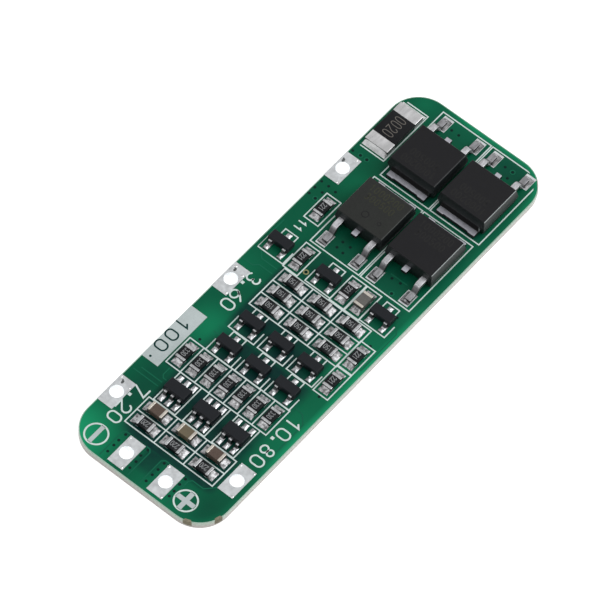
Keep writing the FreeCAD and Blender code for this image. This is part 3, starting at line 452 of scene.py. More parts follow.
def metal_look(name, color, rough, spots=0.0, grain=0.3, bump=0.3, depth=0.02, stretch=None, steep=None,
               metal=1.0, front=1.0, foot=1.0):
    """Tin or solder: metal whose roughness and height vary over a fine grain, with painted shade on its
    sloping sides.

    steep is the share of the colour left on a sloping and on an upright face, which is painted shade there, or
    painted light where a share is above one; front is that on a face towards -Y, a painted shade; and foot is
    that close to the board, a painted dark reflection of the moulding. The random dull spots in part also
    paint dark reflections.
    """
    material, tree, shader = principled(name, color, rough=rough, metal=metal)
    dull = tuple(c * (1 - spots) for c in color)
    tone = ramp(tree, noise_at(tree, grain * 2.2, 3.0, stretch=stretch), [(0.38, dull), (0.6, color)])
    # Painted shade on sloping and upright faces, or painted light where a share is above one
    if steep:
        sloping, upright = steep
        level = calc(tree, "ABSOLUTE", normal_part(tree, "Z"))
        tone = shaded(tree, tone, level, [(0.55, upright), (0.82, sloping), (0.97, 1.0)])
    # Painted shade on faces towards -Y
    if front < 1.0:
        facing = calc(tree, "MULTIPLY_ADD", normal_part(tree, "Y"), 0.5, 0.5)
        tone = shaded(tree, tone, facing, [(0.30, front), (0.52, 1.0)])
    # Painted dark reflection of the moulding close to the board
    if foot < 1.0:
        climb = spread(tree, along(tree, "Z"), 0.0, 1.0, 1.65, 2.15)
        tone = shaded(tree, tone, climb, [(0.0, foot), (1.0, 1.0)])
    fine = noise_at(tree, grain, 4.0, stretch=stretch)
    surface(tree, shader, tone, fine, (max(rough - 0.12, 0.04), rough + 0.14), bump, depth)
    return material


tinned = metal_look("tinned_land", (0.86, 0.89, 0.91), 0.42, spots=0.10, grain=0.5, bump=0.25,
    steep=(1.0, 1.1))
solder_metal = metal_look("bright_solder", (0.73, 0.73, 0.75), 0.30, spots=0.74, grain=0.16, bump=0.6,
    depth=0.03, steep=(1.0, 0.25), metal=0.45, front=0.74)
foot_metal = metal_look("lead_solder", (0.84, 0.85, 0.88), 0.34, spots=0.52, grain=0.17, bump=0.25,
    steep=(0.40, 0.08))
wide_solder = metal_look("wide_solder", (0.90, 0.90, 0.91), 0.38, spots=0.25, metal=0.25)
mound_metal = metal_look("mound_solder", (0.66, 0.66, 0.68), 0.36, spots=0.60, grain=0.2, bump=0.5,
    depth=0.03, steep=(0.45, 0.15), metal=0.6, front=0.30)
bead_metal = metal_look("tin_bead", (0.97, 0.97, 0.98), 0.20, grain=0.5, bump=0.05, depth=0.01)
lead_metal = metal_look("tinned_lead", (0.94, 0.95, 0.98), 0.32, spots=0.15, grain=0.20, bump=0.2,
    steep=(0.45, 0.16))
formed_metal = metal_look("formed_lead", (0.88, 0.88, 0.92), 0.36, spots=0.30, grain=0.22, depth=0.03,
    stretch=(0.35, 1, 1), steep=(0.55, 0.28), foot=0.55)
tab_metal = metal_look("drain_tab", (0.60, 0.60, 0.66), 0.50, spots=0.12, grain=0.20, steep=(0.5, 0.10))
cap_metal = metal_look("chip_end", (0.78, 0.79, 0.81), 0.34, spots=0.25, grain=0.20, steep=(0.60, 0.16))
cream_metal = metal_look("capacitor_end", (0.86, 0.80, 0.72), 0.38, spots=0.15, grain=0.25,
    steep=(0.70, 0.25))
shunt_metal = metal_look("shunt_end", (0.84, 0.84, 0.85), 0.38, spots=0.12, grain=0.4, bump=0.25,
    stretch=(0.3, 1, 1), steep=(0.8, 0.3))
golden = metal_look("via_ring", (0.42, 0.40, 0.20), 0.35, grain=0.15)


# Mouldings, ceramic and ink

# Painted sheen on the mouldings' upright sides, and painted highlight on their rounded -Y edge
MOULD_SIDE_SHEEN = (0.011, 0.014, 0.015)
MOULD_EDGE_HIGHLIGHT = (0.380, 0.420, 0.420)


def stone_look(name, color, rough, grain, vary=0.25, specular=0.35, bump=0.4, depth=0.015, sides=None,
               patch=None):
    """Matte moulded or fired surface with fine grain. Where sides is given, that colour is a painted sheen on
    upright faces, and one rounded edge gets a painted highlight.

    patch is a middle in millimetres, a radius and the colour there.
    """
    material, tree, shader = principled(name, color, rough=rough, specular=specular)
    fine = noise_at(tree, grain, 5.0)
    low, high = (tuple(c * share for c in color) for share in (1 - vary, 1 + vary))
    tone = ramp(tree, fine, [(0.3, low), (0.7, high)])
    if patch:
        patch_x, patch_y, radius, patch_color = patch
        tone = blend(tree, spot(tree, patch_x, patch_y, radius), tone, patch_color)
    if sides:
        # Upright faces take the painted sheen; the rounded edge at the board's long side gets a painted
        # highlight, weaker on the packages further in, which stand in their neighbours' shade
        tone = blend(tree, level_faces(tree, 0.30, 0.40), sides, tone)
        leaning = calc(tree, "MULTIPLY", level_faces(tree, 0.28, 0.45), level_faces(tree, 0.97, 0.85))
        facing = spread(tree, normal_part(tree, "Y"), 1.0, 0.0, -0.5, -0.1)
        leaning = calc(tree, "MULTIPLY", leaning, facing)
        outer = spread(tree, along(tree, "Y"), 1.0, 0.12, -6.5, -4.5)
        tone = blend(tree, calc(tree, "MULTIPLY", leaning, outer), tone, MOULD_EDGE_HIGHLIGHT)
    tone = shaded(tree, tone, noise_at(tree, grain * 14, 2.0), [(0.3, 0.86), (0.7, 1.0)])
    surface(tree, shader, tone, fine, (rough - 0.08, rough + 0.08), bump, depth)
    return material


def ink_look(name, color, rough=0.60, grain=0.08, vary=0.15, **look):
    """Matte print or smudge."""
    return stone_look(name, color, rough, grain, vary=vary, specular=0.2, **look)


mould = stone_look("moulding_compound", (0.002, 0.002, 0.004), 0.42, 0.10, specular=0.36,
    sides=MOULD_SIDE_SHEEN)
grey_mould = stone_look("greyer_moulding", (0.015, 0.017, 0.015), 0.45, 0.10, specular=0.36,
    sides=MOULD_SIDE_SHEEN)
small_mould = stone_look("small_moulding", (0.004, 0.006, 0.010), 0.45, 0.07, specular=0.34)
overcoat = stone_look("black_overcoat", (0.003, 0.004, 0.006), 0.40, 0.12, specular=0.28)
brown_ceramic = stone_look("brown_ceramic", (0.108, 0.074, 0.058), 0.45, 0.10,
                               patch=(-21.5, -0.4, 3.8, (0.170, 0.140, 0.085)))
grey_ceramic = stone_look("grey_ceramic", (0.140, 0.135, 0.125), 0.45, 0.10)
laser_mark = stone_look("laser_mark", (0.031, 0.033, 0.018), 0.55, 0.10, vary=0.4, specular=0.3)
faint_mark = stone_look("faint_laser_mark", (0.010, 0.010, 0.010), 0.50, 0.10, vary=0.4, specular=0.33)
# Dark discs over the vias: painted shade of their dimples
hole_dark = stone_look("via_hole", (0.003, 0.024, 0.019), 0.6, 0.1, specular=0.1)
ink = ink_look("white_ink", (0.54, 0.61, 0.61), grain=0.16, vary=0.06, bump=0.3, depth=0.01)
line_ink = ink_look("fine_white_ink", (0.72, 0.82, 0.80), grain=0.16, vary=0.06, bump=0.3, depth=0.01)
code_ink = ink_look("code_ink", (0.30, 0.31, 0.32))
shunt_ink = ink_look("shunt_ink", (0.17, 0.155, 0.14))
bare_rim = ink_look("bare_rim", (0.42, 0.60, 0.50), grain=0.2, vary=0.08)
burnt = ink_look("break_off_mark", (0.26, 0.24, 0.17), rough=0.8, grain=0.12, vary=0.35)
raw_laminate = ink_look("raw_laminate", (0.60, 0.58, 0.55), rough=0.7, grain=0.2, vary=0.12)
soot = ink_look("flux_smudge", (0.10, 0.11, 0.11), rough=0.7, grain=0.10, vary=0.3)

for name, obj in NODES.items():
    if name == "circuit_board":
        look = mask_board
    elif name == "component_lands" or name.endswith("_terminal"):
        look = tinned
    else:
        # A piece of this file takes the place of every other node
        continue
    if not obj.material_slots:
        obj.data.materials.append(look)
    for entry in obj.material_slots:
        entry.material = look


# Chips with plated ends

RESISTOR_CODES = {"supply_resistor": "220", "ladder_resistor": "330", "balance_resistor": "150",
                  "control_resistor": "221"}
CHIP_HALF, CHIP_WIDE, CHIP_WRAP = 1.0, 1.25, 0.37
RESISTOR_HIGH, CAPACITOR_HIGH = 0.5, 0.85
SHUNT_HALF, SHUNT_WIDE, SHUNT_WRAP, SHUNT_HIGH = 3.175, 3.2, 1.45, 0.65
COAT_RISE = 0.03
CODE_RISE = 0.006

# How far a core lies inside its ends' outer faces: lengthwise, sideways, below, along its step, and above
CHIP_INSETS = (0.05, 0.01, 0.04, 0.09, 0.03)
SHUNT_INSETS = (0.10, 0.02, 0.08, 0.12, 0.05)


def chip_spots(name):
    """Middle of each chip in a CAD node, and whether it lies along the board."""
    return [((low[0] + high[0]) / 2, (low[1] + high[1]) / 2, high[0] - low[0] > high[1] - low[1])
            for low, high, _ in islands(name)]


def chip(cores, ends, place, half_long, half_wide, inner, top, crest, insets):
    """Core between two plated ends. It steps up or down to its crest where the ends leave it bare."""
    cx, cy, along_x = place
    end, side, under, step, over = insets

    def ring(x, half_y, low_z, high_z):
        corners = ((-half_y, low_z), (half_y, low_z), (half_y, high_z), (-half_y, high_z))
        return [(cx + x, cy + y, z) if along_x else (cx - y, cy + x, z) for y, z in corners]

    rings = []
    for x in (-half_long + end, -inner, -inner + step, inner - step, inner, half_long - end):
        z = crest if abs(x) < inner - 0.02 else top - over
        rings.append(ring(x, half_wide - side, LAND_TOP + under, z))
    loft(cores, rings)
    for sign in (-1, 1):
        limits = sorted((sign * (inner + 0.01), sign * half_long))
        loft(ends, [ring(x, half_wide, LAND_TOP, top) for x in limits])


def chips(label, high, core_material, core_slot, rise, end_material=cap_metal):
    """Cores and rounded plated ends of a group of chips."""
    cores, ends = bmesh.new(), bmesh.new()
    top = LAND_TOP + high
    for place in chip_spots(f"{label}_bodies"):
        inner = CHIP_HALF - CHIP_WRAP - rng.uniform(-0.02, 0.03)
        chip(cores, ends, place, CHIP_HALF, CHIP_WIDE / 2, inner, top, top + rise, CHIP_INSETS)
    piece(f"{label}_cores_rounded", cores, core_material, core_slot, [f"{label}_bodies"], bevel=0.035)
    piece(f"{label}_ends_rounded", ends, end_material, "tinned_metal", [f"{label}_ends"], bevel=0.06,
          segments=3)


def shunt():
    """Wide current shunt: dark element with folded metal ends."""
    core, ends = bmesh.new(), bmesh.new()
    top = LAND_TOP + SHUNT_HIGH
    place = (*middle("current_shunt_body"), True)
    inner = SHUNT_HALF - SHUNT_WRAP
    chip(core, ends, place, SHUNT_HALF, SHUNT_WIDE / 2, inner, top, top + COAT_RISE, SHUNT_INSETS)
    piece("shunt_element", core, overcoat, "black_overcoat", ["current_shunt_body"], bevel=0.05)
    piece("shunt_metal_ends", ends, shunt_metal, "tinned_metal", ["current_shunt_ends"], bevel=0.09,
          segments=3)


for label in RESISTOR_CODES:
    chips(label, RESISTOR_HIGH, overcoat, "black_overcoat", COAT_RISE)
chips("filter_capacitor", CAPACITOR_HIGH, brown_ceramic, "brown_ceramic", -COAT_RISE, cream_metal)
chips("control_capacitor", CAPACITOR_HIGH, grey_ceramic, "grey_ceramic", -COAT_RISE, cream_metal)
shunt()


# Solder

GRID_STEP = 0.08
LARGE_LAND = 1.2
SHUNT_LAND = 2.5
SHUNT_RISE = 0.56


def solder_patch(bm, limits, height):
    """Closed solder surface over a land. height(u, v) gives the rise, with u and v from 0 to 1."""
    (x0, x1), (y0, y1) = limits
    nx, ny = (max(10, int((end - start) / GRID_STEP)) for start, end in limits)
    grid = []
    for i in range(nx + 1):
        line = []
        for j in range(ny + 1):
            # Points lie closer together near the rim, where the surface turns down
            u, v = 0.5 - 0.5 * math.cos(math.pi * i / nx), 0.5 - 0.5 * math.cos(math.pi * j / ny)
            x, y = x0 + (x1 - x0) * u, y0 + (y1 - y0) * v
            ripple = noise.noise(Vector((x * 3.1, y * 3.1, LAND_TOP * 7))) * 0.02
            edge = min(1.0, 4 * min(u, 1 - u, v, 1 - v) + 0.0001) ** 0.5
            line.append(bm.verts.new((x, y, LAND_TOP + edge * ripple + height(u, v))))
        grid.append(line)
    for i in range(nx):
        for j in range(ny):
            bm.faces.new((grid[i][j], grid[i + 1][j], grid[i + 1][j + 1], grid[i][j + 1]))
    rim = [line[0] for line in grid] + grid[nx][1:]
    rim += [line[ny] for line in grid[nx - 1::-1]] + grid[0][ny - 1:0:-1]
    floor = [bm.verts.new((vert.co.x, vert.co.y, LAND_TOP - 0.02)) for vert in rim]
    for i, vert in enumerate(rim):
        j = (i + 1) % len(rim)
        bm.faces.new((vert, floor[i], floor[j], rim[j]))
    bm.faces.new(floor)


def crown(v, power=4):
    """Falls to nothing at both sides of a land."""
    return max(0.0, 1 - abs(2 * v - 1) ** power) ** 0.5


def end_fillet(peak, lean, power):
    """Height of the solder at a chip's end: full at the end face and hollow down to the land's tip."""
    def height(way, across):
        top = peak * (1 + lean * (2 * across - 1))
        fall = (1 - way) ** power * top + 0.07 * math.sin(math.pi * way) * crown(across)
        return (fall if way > 0.02 else top) * crown(across, 6)
    return height


def foot_mound(peak, lean, foot):
    """Height of the solder round a lead's foot, which takes up that share of its width."""
    def height(way, across):
        near = math.exp(-((2 * across - 1) / (foot * (0.65 + 0.85 * way))) ** 2)
        return crown(across, 3) * crown(way, 6) * (0.03 + peak * near * (1 + lean * (2 * way - 1)))
    return height


def fillet_wedges():
    """CAD fillets, each as its low corner, its high corner and the middle of its upper edge."""
    wedges = []
    for low, high, points in islands("solder_fillets"):
        crest = max(co.z for co in points)
        ridge = [co for co in points if co.z > crest - 1e-4]
        wedges.append((low, high, [sum(co[i] for co in ridge) / len(ridge) for i in (0, 1)]))
    return wedges


def joint(groups, low, high, wedge):
    """Solder on one land, in the mesh of the piece that it belongs to."""
    wedge_low, wedge_high, ridge = wedge
    centre = [(wedge_low[i] + wedge_high[i]) / 2 for i in (0, 1)]
    axis = 0 if abs(ridge[0] - centre[0]) > abs(ridge[1] - centre[1]) else 1
    cross = 1 - axis
    toward = 1 if centre[axis] > ridge[axis] else -1
    far, tip = (low[axis], high[axis]) if toward > 0 else (high[axis], low[axis])
    sides = (low[cross], high[cross])
    land_wide = high[cross] - low[cross]
    wedge_wide = wedge_high[cross] - wedge_low[cross]
    peak = (wedge_high[2] - LAND_TOP) * rng.uniform(0.75, 1.12)
    lean = rng.uniform(-0.25, 0.25)
    if land_wide - wedge_wide < 0.05:
        # Chip end: from just inside the end face to the land's tip
        far = ridge[axis] - toward * 0.02
        name, shape = "solder_joints", end_fillet(peak, lean, 2.3)
        if land_wide > SHUNT_LAND:
            # The shunt's solder is nearly straight and climbs to its top edge
            name, shape = "shunt_solder", end_fillet(SHUNT_RISE, 0.0, 1.25)
    elif land_wide > LARGE_LAND:
        # A large land stays bare but for a mound round the foot
        far += toward * 0.12
        tip = ridge[axis] + toward * min(0.5, abs(tip - ridge[axis]) * 0.6)
        reach = wedge_wide / 2 + 0.20
        sides = (sum(sides) / 2 - reach, sum(sides) / 2 + reach)
        name, shape = "large_foot_solder", foot_mound(peak * 0.8, lean, wedge_wide / (2 * reach))
    else:
        # Lead's foot: a low mound over the whole land, higher beside the foot
        name, shape = "solder_feet", foot_mound(peak, lean, wedge_wide / land_wide)

    def height(u, v):
        way, across = (v, u) if axis else (u, v)
        return shape(way if toward > 0 else 1 - way, across)

    span = sorted((far, tip))
    solder_patch(groups[name], (sides, span) if axis else (span, sides), height)


def joints():
    """Concave fillets at the chips' ends and mounds round the leads' feet."""
    looks = {"solder_joints": solder_metal, "shunt_solder": wide_solder, "large_foot_solder": mound_metal,
             "solder_feet": foot_metal}
    groups = {name: bmesh.new() for name in looks}
    wedges = fillet_wedges()
    for low, high, _ in islands("component_lands"):
        mine = [wedge for wedge in wedges
                if all(low[i] - 0.3 < (wedge[0][i] + wedge[1][i]) / 2 < high[i] + 0.3 for i in (0, 1))]
        if mine:
            joint(groups, low, high, mine[0])
    for name, look in looks.items():
        piece(name, groups[name], look, "solder", ["solder_fillets"], angle=80)


joints()


# Small packages

BEND_STEPS = 5
SMALL_THICK = 0.14
SMALL_RISE = LAND_TOP + 0.5 + SMALL_THICK / 2
SMALL_FOOT = LAND_TOP + SMALL_THICK / 2
SMALL_PARTING = LAND_TOP + 0.57
SMALL_DRAFT = 8
LEAD_PITCH = 0.95

# Leads as the side, -1 or 1, and the place along it
THREE_LEADS = [(-1, LEAD_PITCH), (-1, -LEAD_PITCH), (1, 0.0)]
SIX_LEADS = [(side, step * LEAD_PITCH) for side in (-1, 1) for step in (-1, 0, 1)]


def strip_profile(path, bend, thick):
    """Outline of a bent strip from its middle line, (x, z) points that turn with one bend radius."""
    path = [Vector(point) for point in path]
    line = [path[0]]
    for before, here, after in zip(path, path[1:], path[2:]):
        back, on = (before - here).normalized(), (after - here).normalized()
        half = back.angle(on) / 2
        start, end = (here + way * bend / math.tan(half) for way in (back, on))
        centre = here + (back + on).normalized() * bend / math.sin(half)
        for step in range(BEND_STEPS + 1):
            point = start.lerp(end, step / BEND_STEPS)
            line.append(centre + (point - centre).normalized() * bend)
    line.append(path[-1])
    left, right = [], []
    for i, point in enumerate(line):
        ahead = line[min(i + 1, len(line) - 1)] - line[max(i - 1, 0)]
        side = Vector((-ahead.y, ahead.x)).normalized() * thick / 2
        left.append(point + side)
        right.append(point - side)
    return [(p.x, p.y) for p in left + right[::-1]]


def strip(bm, profile, cx, cy, sign, offset, wide):
    """Bent strip extruded across its width and set down at a package's middle."""
    loft(bm, [[(cx + sign * x, cy + sign * y, z) for x, z in profile]
              for y in (offset - wide / 2, offset + wide / 2)])


def drafted(bm, cx, cy, half_x, half_y, levels, degrees, line):
    """Moulding that narrows from its parting line to both faces. Returns how much it narrows to the top."""
    bottom, parting, top = levels
    slant = math.tan(math.radians(degrees))
    down, up = (parting - bottom) * slant, (top - parting) * slant
    rings = []
    for inset, z in ((down, bottom), (0, parting - line), (0, parting + line), (up, top)):
        x, y = half_x - inset, half_y - inset
        rings.append([(*corner, z) for corner in rectangle(cx - x, cx + x, cy - y, cy + y)])
    loft(bm, rings)
    return up


def small_package(name, half_x, reach, leads, lead_wide):
    """Moulded body and gull-wing leads of a small package."""
    cx, cy = middle(f"{name}_body")
    low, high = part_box(f"{name}_body")
    half_y = (high[1] - low[1]) / 2 / MM
    body = bmesh.new()
    drafted(body, cx, cy, half_x, half_y, (low[2] / MM, SMALL_PARTING, high[2] / MM), SMALL_DRAFT, 0.01)
    piece(f"{name}_moulding", body, small_mould, "moulding_compound", [f"{name}_body"], bevel=0.06, angle=25)
    wires = bmesh.new()
    tip = half_x + reach
    ankle = tip - 0.25
    knee = ankle - 0.19
    path = [(half_x - 0.25, SMALL_RISE), (knee, SMALL_RISE), (ankle, SMALL_FOOT), (tip, SMALL_FOOT)]
    profile = strip_profile(path, 0.09, SMALL_THICK)
    for side, offset in leads:
        strip(wires, [(side * x, z) for x, z in profile], cx, cy, 1, offset, lead_wide)
    piece(f"{name}_gull_wings", wires, lead_metal, "tinned_metal", [f"{name}_leads"], bevel=0.03, angle=50)


for number in range(1, 10):
    small_package(f"signal_transistor_{number}", 0.65, 0.55, THREE_LEADS, 0.42)
for number in range(1, 4):
    small_package(f"protection_chip_{number}", 0.8, 0.6, SIX_LEADS, 0.38)


# Power transistors, drawn with the drain tab towards +X

FET_HALF_X, FET_HALF_Y = 3.05, 3.3
FET_PARTING, FET_TOP = LAND_TOP + 1.15, LAND_TOP + 2.3
FET_DRAFT = 11
TAB_STEP = 0.20
TAB_HALF, TAB_WAIST = 2.65, 1.65
TAB_END = FET_HALF_X + 0.93
TAB_TOP = LAND_TOP + 0.5
STUB_HALF = 0.38
FORMED_THICK, FORMED_WIDE, FORMED_PITCH = 0.5, 0.76, 2.285
FORMED_BEND = 0.55
FORMED_SLOPE = math.radians(55)
ENGRAVING = 0.01


def power_place(number):
    """Name and middle of a power transistor, and -1 where it is turned round."""
    name = f"power_transistor_{number}"
    cx, cy = middle(f"{name}_body")
    low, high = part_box(f"{name}_leads")
    return name, cx, cy, -1 if (low[0] + high[0]) / 2 / MM > cx else 1


def power_body(cx, cy, sign):
    """Moulding with the step over the drain tab, which leaves only the tab's outer strip bare."""
    body = bmesh.new()
    up = drafted(body, cx, cy, FET_HALF_X, FET_HALF_Y, (LAND_TOP, FET_PARTING, FET_TOP), FET_DRAFT, 0.02)
    rings = []
    for reach, half_y, z in ((TAB_STEP, 2.75, TAB_TOP + 0.005), (TAB_STEP, 2.75, TAB_TOP + 0.10),
                             (-up * 0.8, 2.55, FET_PARTING + 0.55)):
        corners = rectangle(FET_HALF_X - 0.6, FET_HALF_X + reach, -half_y, half_y)
        rings.append([(*corner, z) for corner in placed(corners, cx, cy, sign)])
    loft(body, rings)
    return body


def power_tab(cx, cy, sign):
    """Drain tab with two ears, and the cut-off middle lead at the other end."""
    tab = bmesh.new()
    waist = TAB_END - 0.10
    outline = [(0.5, -TAB_HALF), (TAB_END, -TAB_HALF), (TAB_END, -TAB_WAIST - 0.10), (waist, -TAB_WAIST),
               (waist, TAB_WAIST), (TAB_END, TAB_WAIST + 0.10), (TAB_END, TAB_HALF), (0.5, TAB_HALF)]
    prism(tab, placed(outline, cx, cy, sign), LAND_TOP, TAB_TOP)
    stub = rectangle(-FET_HALF_X - 0.78, -FET_HALF_X + 0.6, -STUB_HALF, STUB_HALF)
    prism(tab, placed(stub, cx, cy, sign), LAND_TOP + 0.9, LAND_TOP + 1.4)
    return tab


def power_leads(cx, cy, sign):
    """The two outer leads, bent twice down to their lands."""
    wires = bmesh.new()
    low_z = LAND_TOP + FORMED_THICK / 2
    tip = FET_HALF_X + 2.88
    ankle = tip - 0.9 - FORMED_BEND * math.tan(FORMED_SLOPE / 2)
    knee = ankle - (FET_PARTING - low_z) / math.tan(FORMED_SLOPE)
    path = [(FET_HALF_X - 0.6, FET_PARTING), (knee, FET_PARTING), (ankle, low_z), (tip, low_z)]
    profile = [(-x, z) for x, z in strip_profile(path, FORMED_BEND, FORMED_THICK)]
    for offset in (-FORMED_PITCH, FORMED_PITCH):
        strip(wires, profile, cx, cy, sign, offset, FORMED_WIDE)
    return wires


def ejector_rings(name):
    """Faint rings left by the mould's ejector pins."""
    rings = bmesh.new()
    for y, radius, steps, wide in ((2.19, 0.40, 24, 0.10), (0.24, 0.22, 16, 0.07)):
        ribbon(rings, circle(11.55, y, radius, steps), wide, FET_TOP - ENGRAVING, FET_TOP + 0.004, closed=True)
    piece(f"{name}_ejector_rings", rings, mould, "moulding_compound", angle=30)


for number in range(1, 5):
    name, *place = power_place(number)
    piece(f"{name}_moulding", power_body(*place), grey_mould if number == 1 else mould, "moulding_compound",
          [f"{name}_body"], bevel=0.12, segments=4, angle=20)
    piece(f"{name}_tab", power_tab(*place), tab_metal, "tinned_metal", [f"{name}_drain_tab"], bevel=0.07)
    piece(f"{name}_formed_leads", power_leads(*place), formed_metal, "tinned_metal", [f"{name}_leads"],
          bevel=0.06, angle=50)
    if number == 1:
        ejector_rings(name)


# Print

GLYPHS = {
    # Lines of each figure in a cell 0.6 wide and 1 high. A line that ends where it starts is closed
    "0": [arc(0.3, 0.7, 0.3, 0, 180) + arc(0.3, 0.3, 0.3, 180, 360) + [(0.6, 0.7)]],
    "1": [[(0.12, 0.78), (0.34, 1.0), (0.34, 0.0)]],
    "2": [arc(0.3, 0.70, 0.3, 170, -38) + [(0.0, 0.0), (0.6, 0.0)]],
    "3": [arc(0.28, 0.75, 0.25, 150, -80), arc(0.28, 0.26, 0.27, 82, -150)],
    "5": [[(0.55, 1.0), (0.08, 1.0), (0.04, 0.54)] + arc(0.28, 0.32, 0.31, 130, -140)],
    "6": [arc(0.3, 0.3, 0.3, 0, 360, 16), [(0.48, 1.0), (0.22, 0.72), (0.03, 0.36)]],
    "7": [[(0.0, 1.0), (0.6, 1.0), (0.22, 0.0)]],
    "8": [arc(0.3, 0.77, 0.23, -90, 270, 14), arc(0.3, 0.27, 0.27, 90, 450, 14)],
}
LINE_TRIM = 0.028
LINE_WIDE = 0.20

# Numbers beside the wire lands: text, place of each figure along the board, and place across it
VOLTAGES = (
    ("7.20", (-20.45, -21.6, -23.2, -24.8), 6.9), ("3.60", (-1.7, -2.8, -4.5, -6.0), 6.9),
    ("10.80", (-13.0, -14.65, -15.75, -17.35, -19.0), -8.12),
)
SIGN_X, MINUS_Y, PLUS_Y = -27.7, 6.95, -5.55


def place_figure(bm, figure, x, y, high, stroke, z0, z1, turn=180, aspect=1.0):
    """One figure about a point, turned by some degrees from the way that has its head towards +Y."""
    if figure == ".":
        half = stroke * 0.95
        prism(bm, turned(rectangle(-half, half, -half, half), x, y, turn), z0, z1)
        return
    for line in GLYPHS[figure]:
        points = turned([((u - 0.3) * high * aspect, (v - 0.5) * high) for u, v in line], x, y, turn)
        closed = math.dist(points[0], points[-1]) < 1e-4
        ribbon(bm, points[:-1] if closed else points, stroke, z0, z1, closed=closed)


def write(bm, text, x, y, high, step, stroke, z0, z1, turn=180, aspect=1.0):
    """Evenly spaced figures about a point."""
    row = [((i - (len(text) - 1) / 2) * step, 0) for i in range(len(text))]
    for figure, at in zip(text, turned(row, x, y, turn)):
        place_figure(bm, figure, *at, high, stroke, z0, z1, turn, aspect)


def fine_outlines():
    """Printed outlines drawn a little finer along the same middle lines."""
    bm = bmesh.new()
    bm.from_mesh(NODES["silkscreen_outlines"].data)
    bmesh.ops.remove_doubles(bm, verts=bm.verts, dist=1e-7)
    bm.normal_update()
    bmesh.ops.delete(bm, geom=[face for face in bm.faces if face.normal.z < 0.9], context="FACES")
    bmesh.ops.scale(bm, vec=(1 / MM, 1 / MM, 1 / MM), verts=bm.verts)
    rim = bmesh.ops.inset_region(bm, faces=bm.faces[:], thickness=LINE_TRIM, use_even_offset=True,
                                 use_boundary=True)["faces"]
    bmesh.ops.delete(bm, geom=rim, context="FACES")
    under = bmesh.ops.extrude_face_region(bm, geom=bm.faces[:], use_keep_orig=True)["geom"]
    lower = [part for part in under if isinstance(part, bmesh.types.BMVert)]
    bmesh.ops.translate(bm, verts=lower, vec=(0, 0, -INK_THICK))
    piece("fine_outlines", bm, line_ink, "white_ink", ["silkscreen_outlines"], angle=30)


def printing():
    """Signs and numbers in the white ink, and the white field with its number left open."""
    signs = bmesh.new()
    for text, places, y in VOLTAGES:
        for figure, x in zip(text, places):
            # The point stands lower than the middle of the figures
            foot = y + 0.6 if figure == "." else y
            place_figure(signs, figure, x, foot, 1.6, LINE_WIDE, BOARD_TOP, INK_TOP, aspect=1.12)
    write(signs, "11", 7.0, 7.5, 0.9, 0.85, 0.17, BOARD_TOP, INK_TOP)
    for y in (MINUS_Y, PLUS_Y):
        ribbon(signs, circle(SIGN_X, y, 1.3, 40), LINE_WIDE, BOARD_TOP, INK_TOP, closed=True)
    piece("printed_signs", signs, line_ink, "white_ink", angle=30)

    fields = bmesh.new()
    h, w = 1.25, 0.28
    prism(fields, rectangle(SIGN_X - h, SIGN_X + h, 6.70, 7.20), BOARD_TOP, INK_TOP)
    plus = [(-h, -w), (-w, -w), (-w, -h), (w, -h), (w, -w), (h, -w), (h, w), (w, w), (w, h), (-w, h),
            (-w, w), (-h, w)]
    prism(fields, placed(plus, SIGN_X, PLUS_Y, 1), BOARD_TOP, INK_TOP)
    prism(fields, rectangle(-17.0, -8.72, 7.5, 9.78), BOARD_TOP, INK_TOP - 0.004)
    piece("printed_fields", fields, ink, "white_ink", angle=30)

    flag = bmesh.new()
    z0, z1 = INK_TOP - 0.006, INK_TOP + 0.002
    write(flag, "100", -12.95, 8.95, 1.5, 1.75, LINE_WIDE, z0, z1, aspect=1.2)
    prism(flag, circle(-16.5, 8.95, 0.15, 16), z0, z1)
    piece("flag_cutout", flag, mask_dark, "solder_mask", angle=30)


def chip_codes():
    """Grey plain numbers on the resistors and the shunt."""
    codes = bmesh.new()
    top = LAND_TOP + RESISTOR_HIGH + COAT_RISE
    for label, code in RESISTOR_CODES.items():
        for cx, cy, along_x in chip_spots(f"{label}_bodies"):
            turn = 180 if along_x else 90
            write(codes, code, cx, cy, 0.60, 0.33, 0.075, top, top + CODE_RISE, turn=turn, aspect=0.62)
    piece("resistor_codes", codes, code_ink, "white_ink", angle=30)
    code = bmesh.new()
    top = LAND_TOP + SHUNT_HIGH + COAT_RISE
    write(code, "0020", *middle("current_shunt_body"), 1.40, 0.74, 0.09, top, top + CODE_RISE, aspect=0.55)
    piece("shunt_code", code, shunt_ink, "white_ink", angle=30)


def laser_marks():
    """Faint figures on the power transistors, read with their drain tab upwards."""
    for number in range(1, 5):
        name, cx, cy, sign = power_place(number)
        marks = bmesh.new()
        for row, text in ((1.85, "1000200"), (0.65, "300500")):
            write(marks, text, cx + sign * row, cy, 0.85, 0.66, 0.12, FET_TOP - ENGRAVING, FET_TOP + 0.003,
                  turn=-90 * sign, aspect=0.75)
        piece(f"{name}_marks", marks, laser_mark if number == 1 else faint_mark, "white_ink", angle=30)


fine_outlines()
printing()
chip_codes()
laser_marks()


# Traces under the mask, vias, and small marks of making

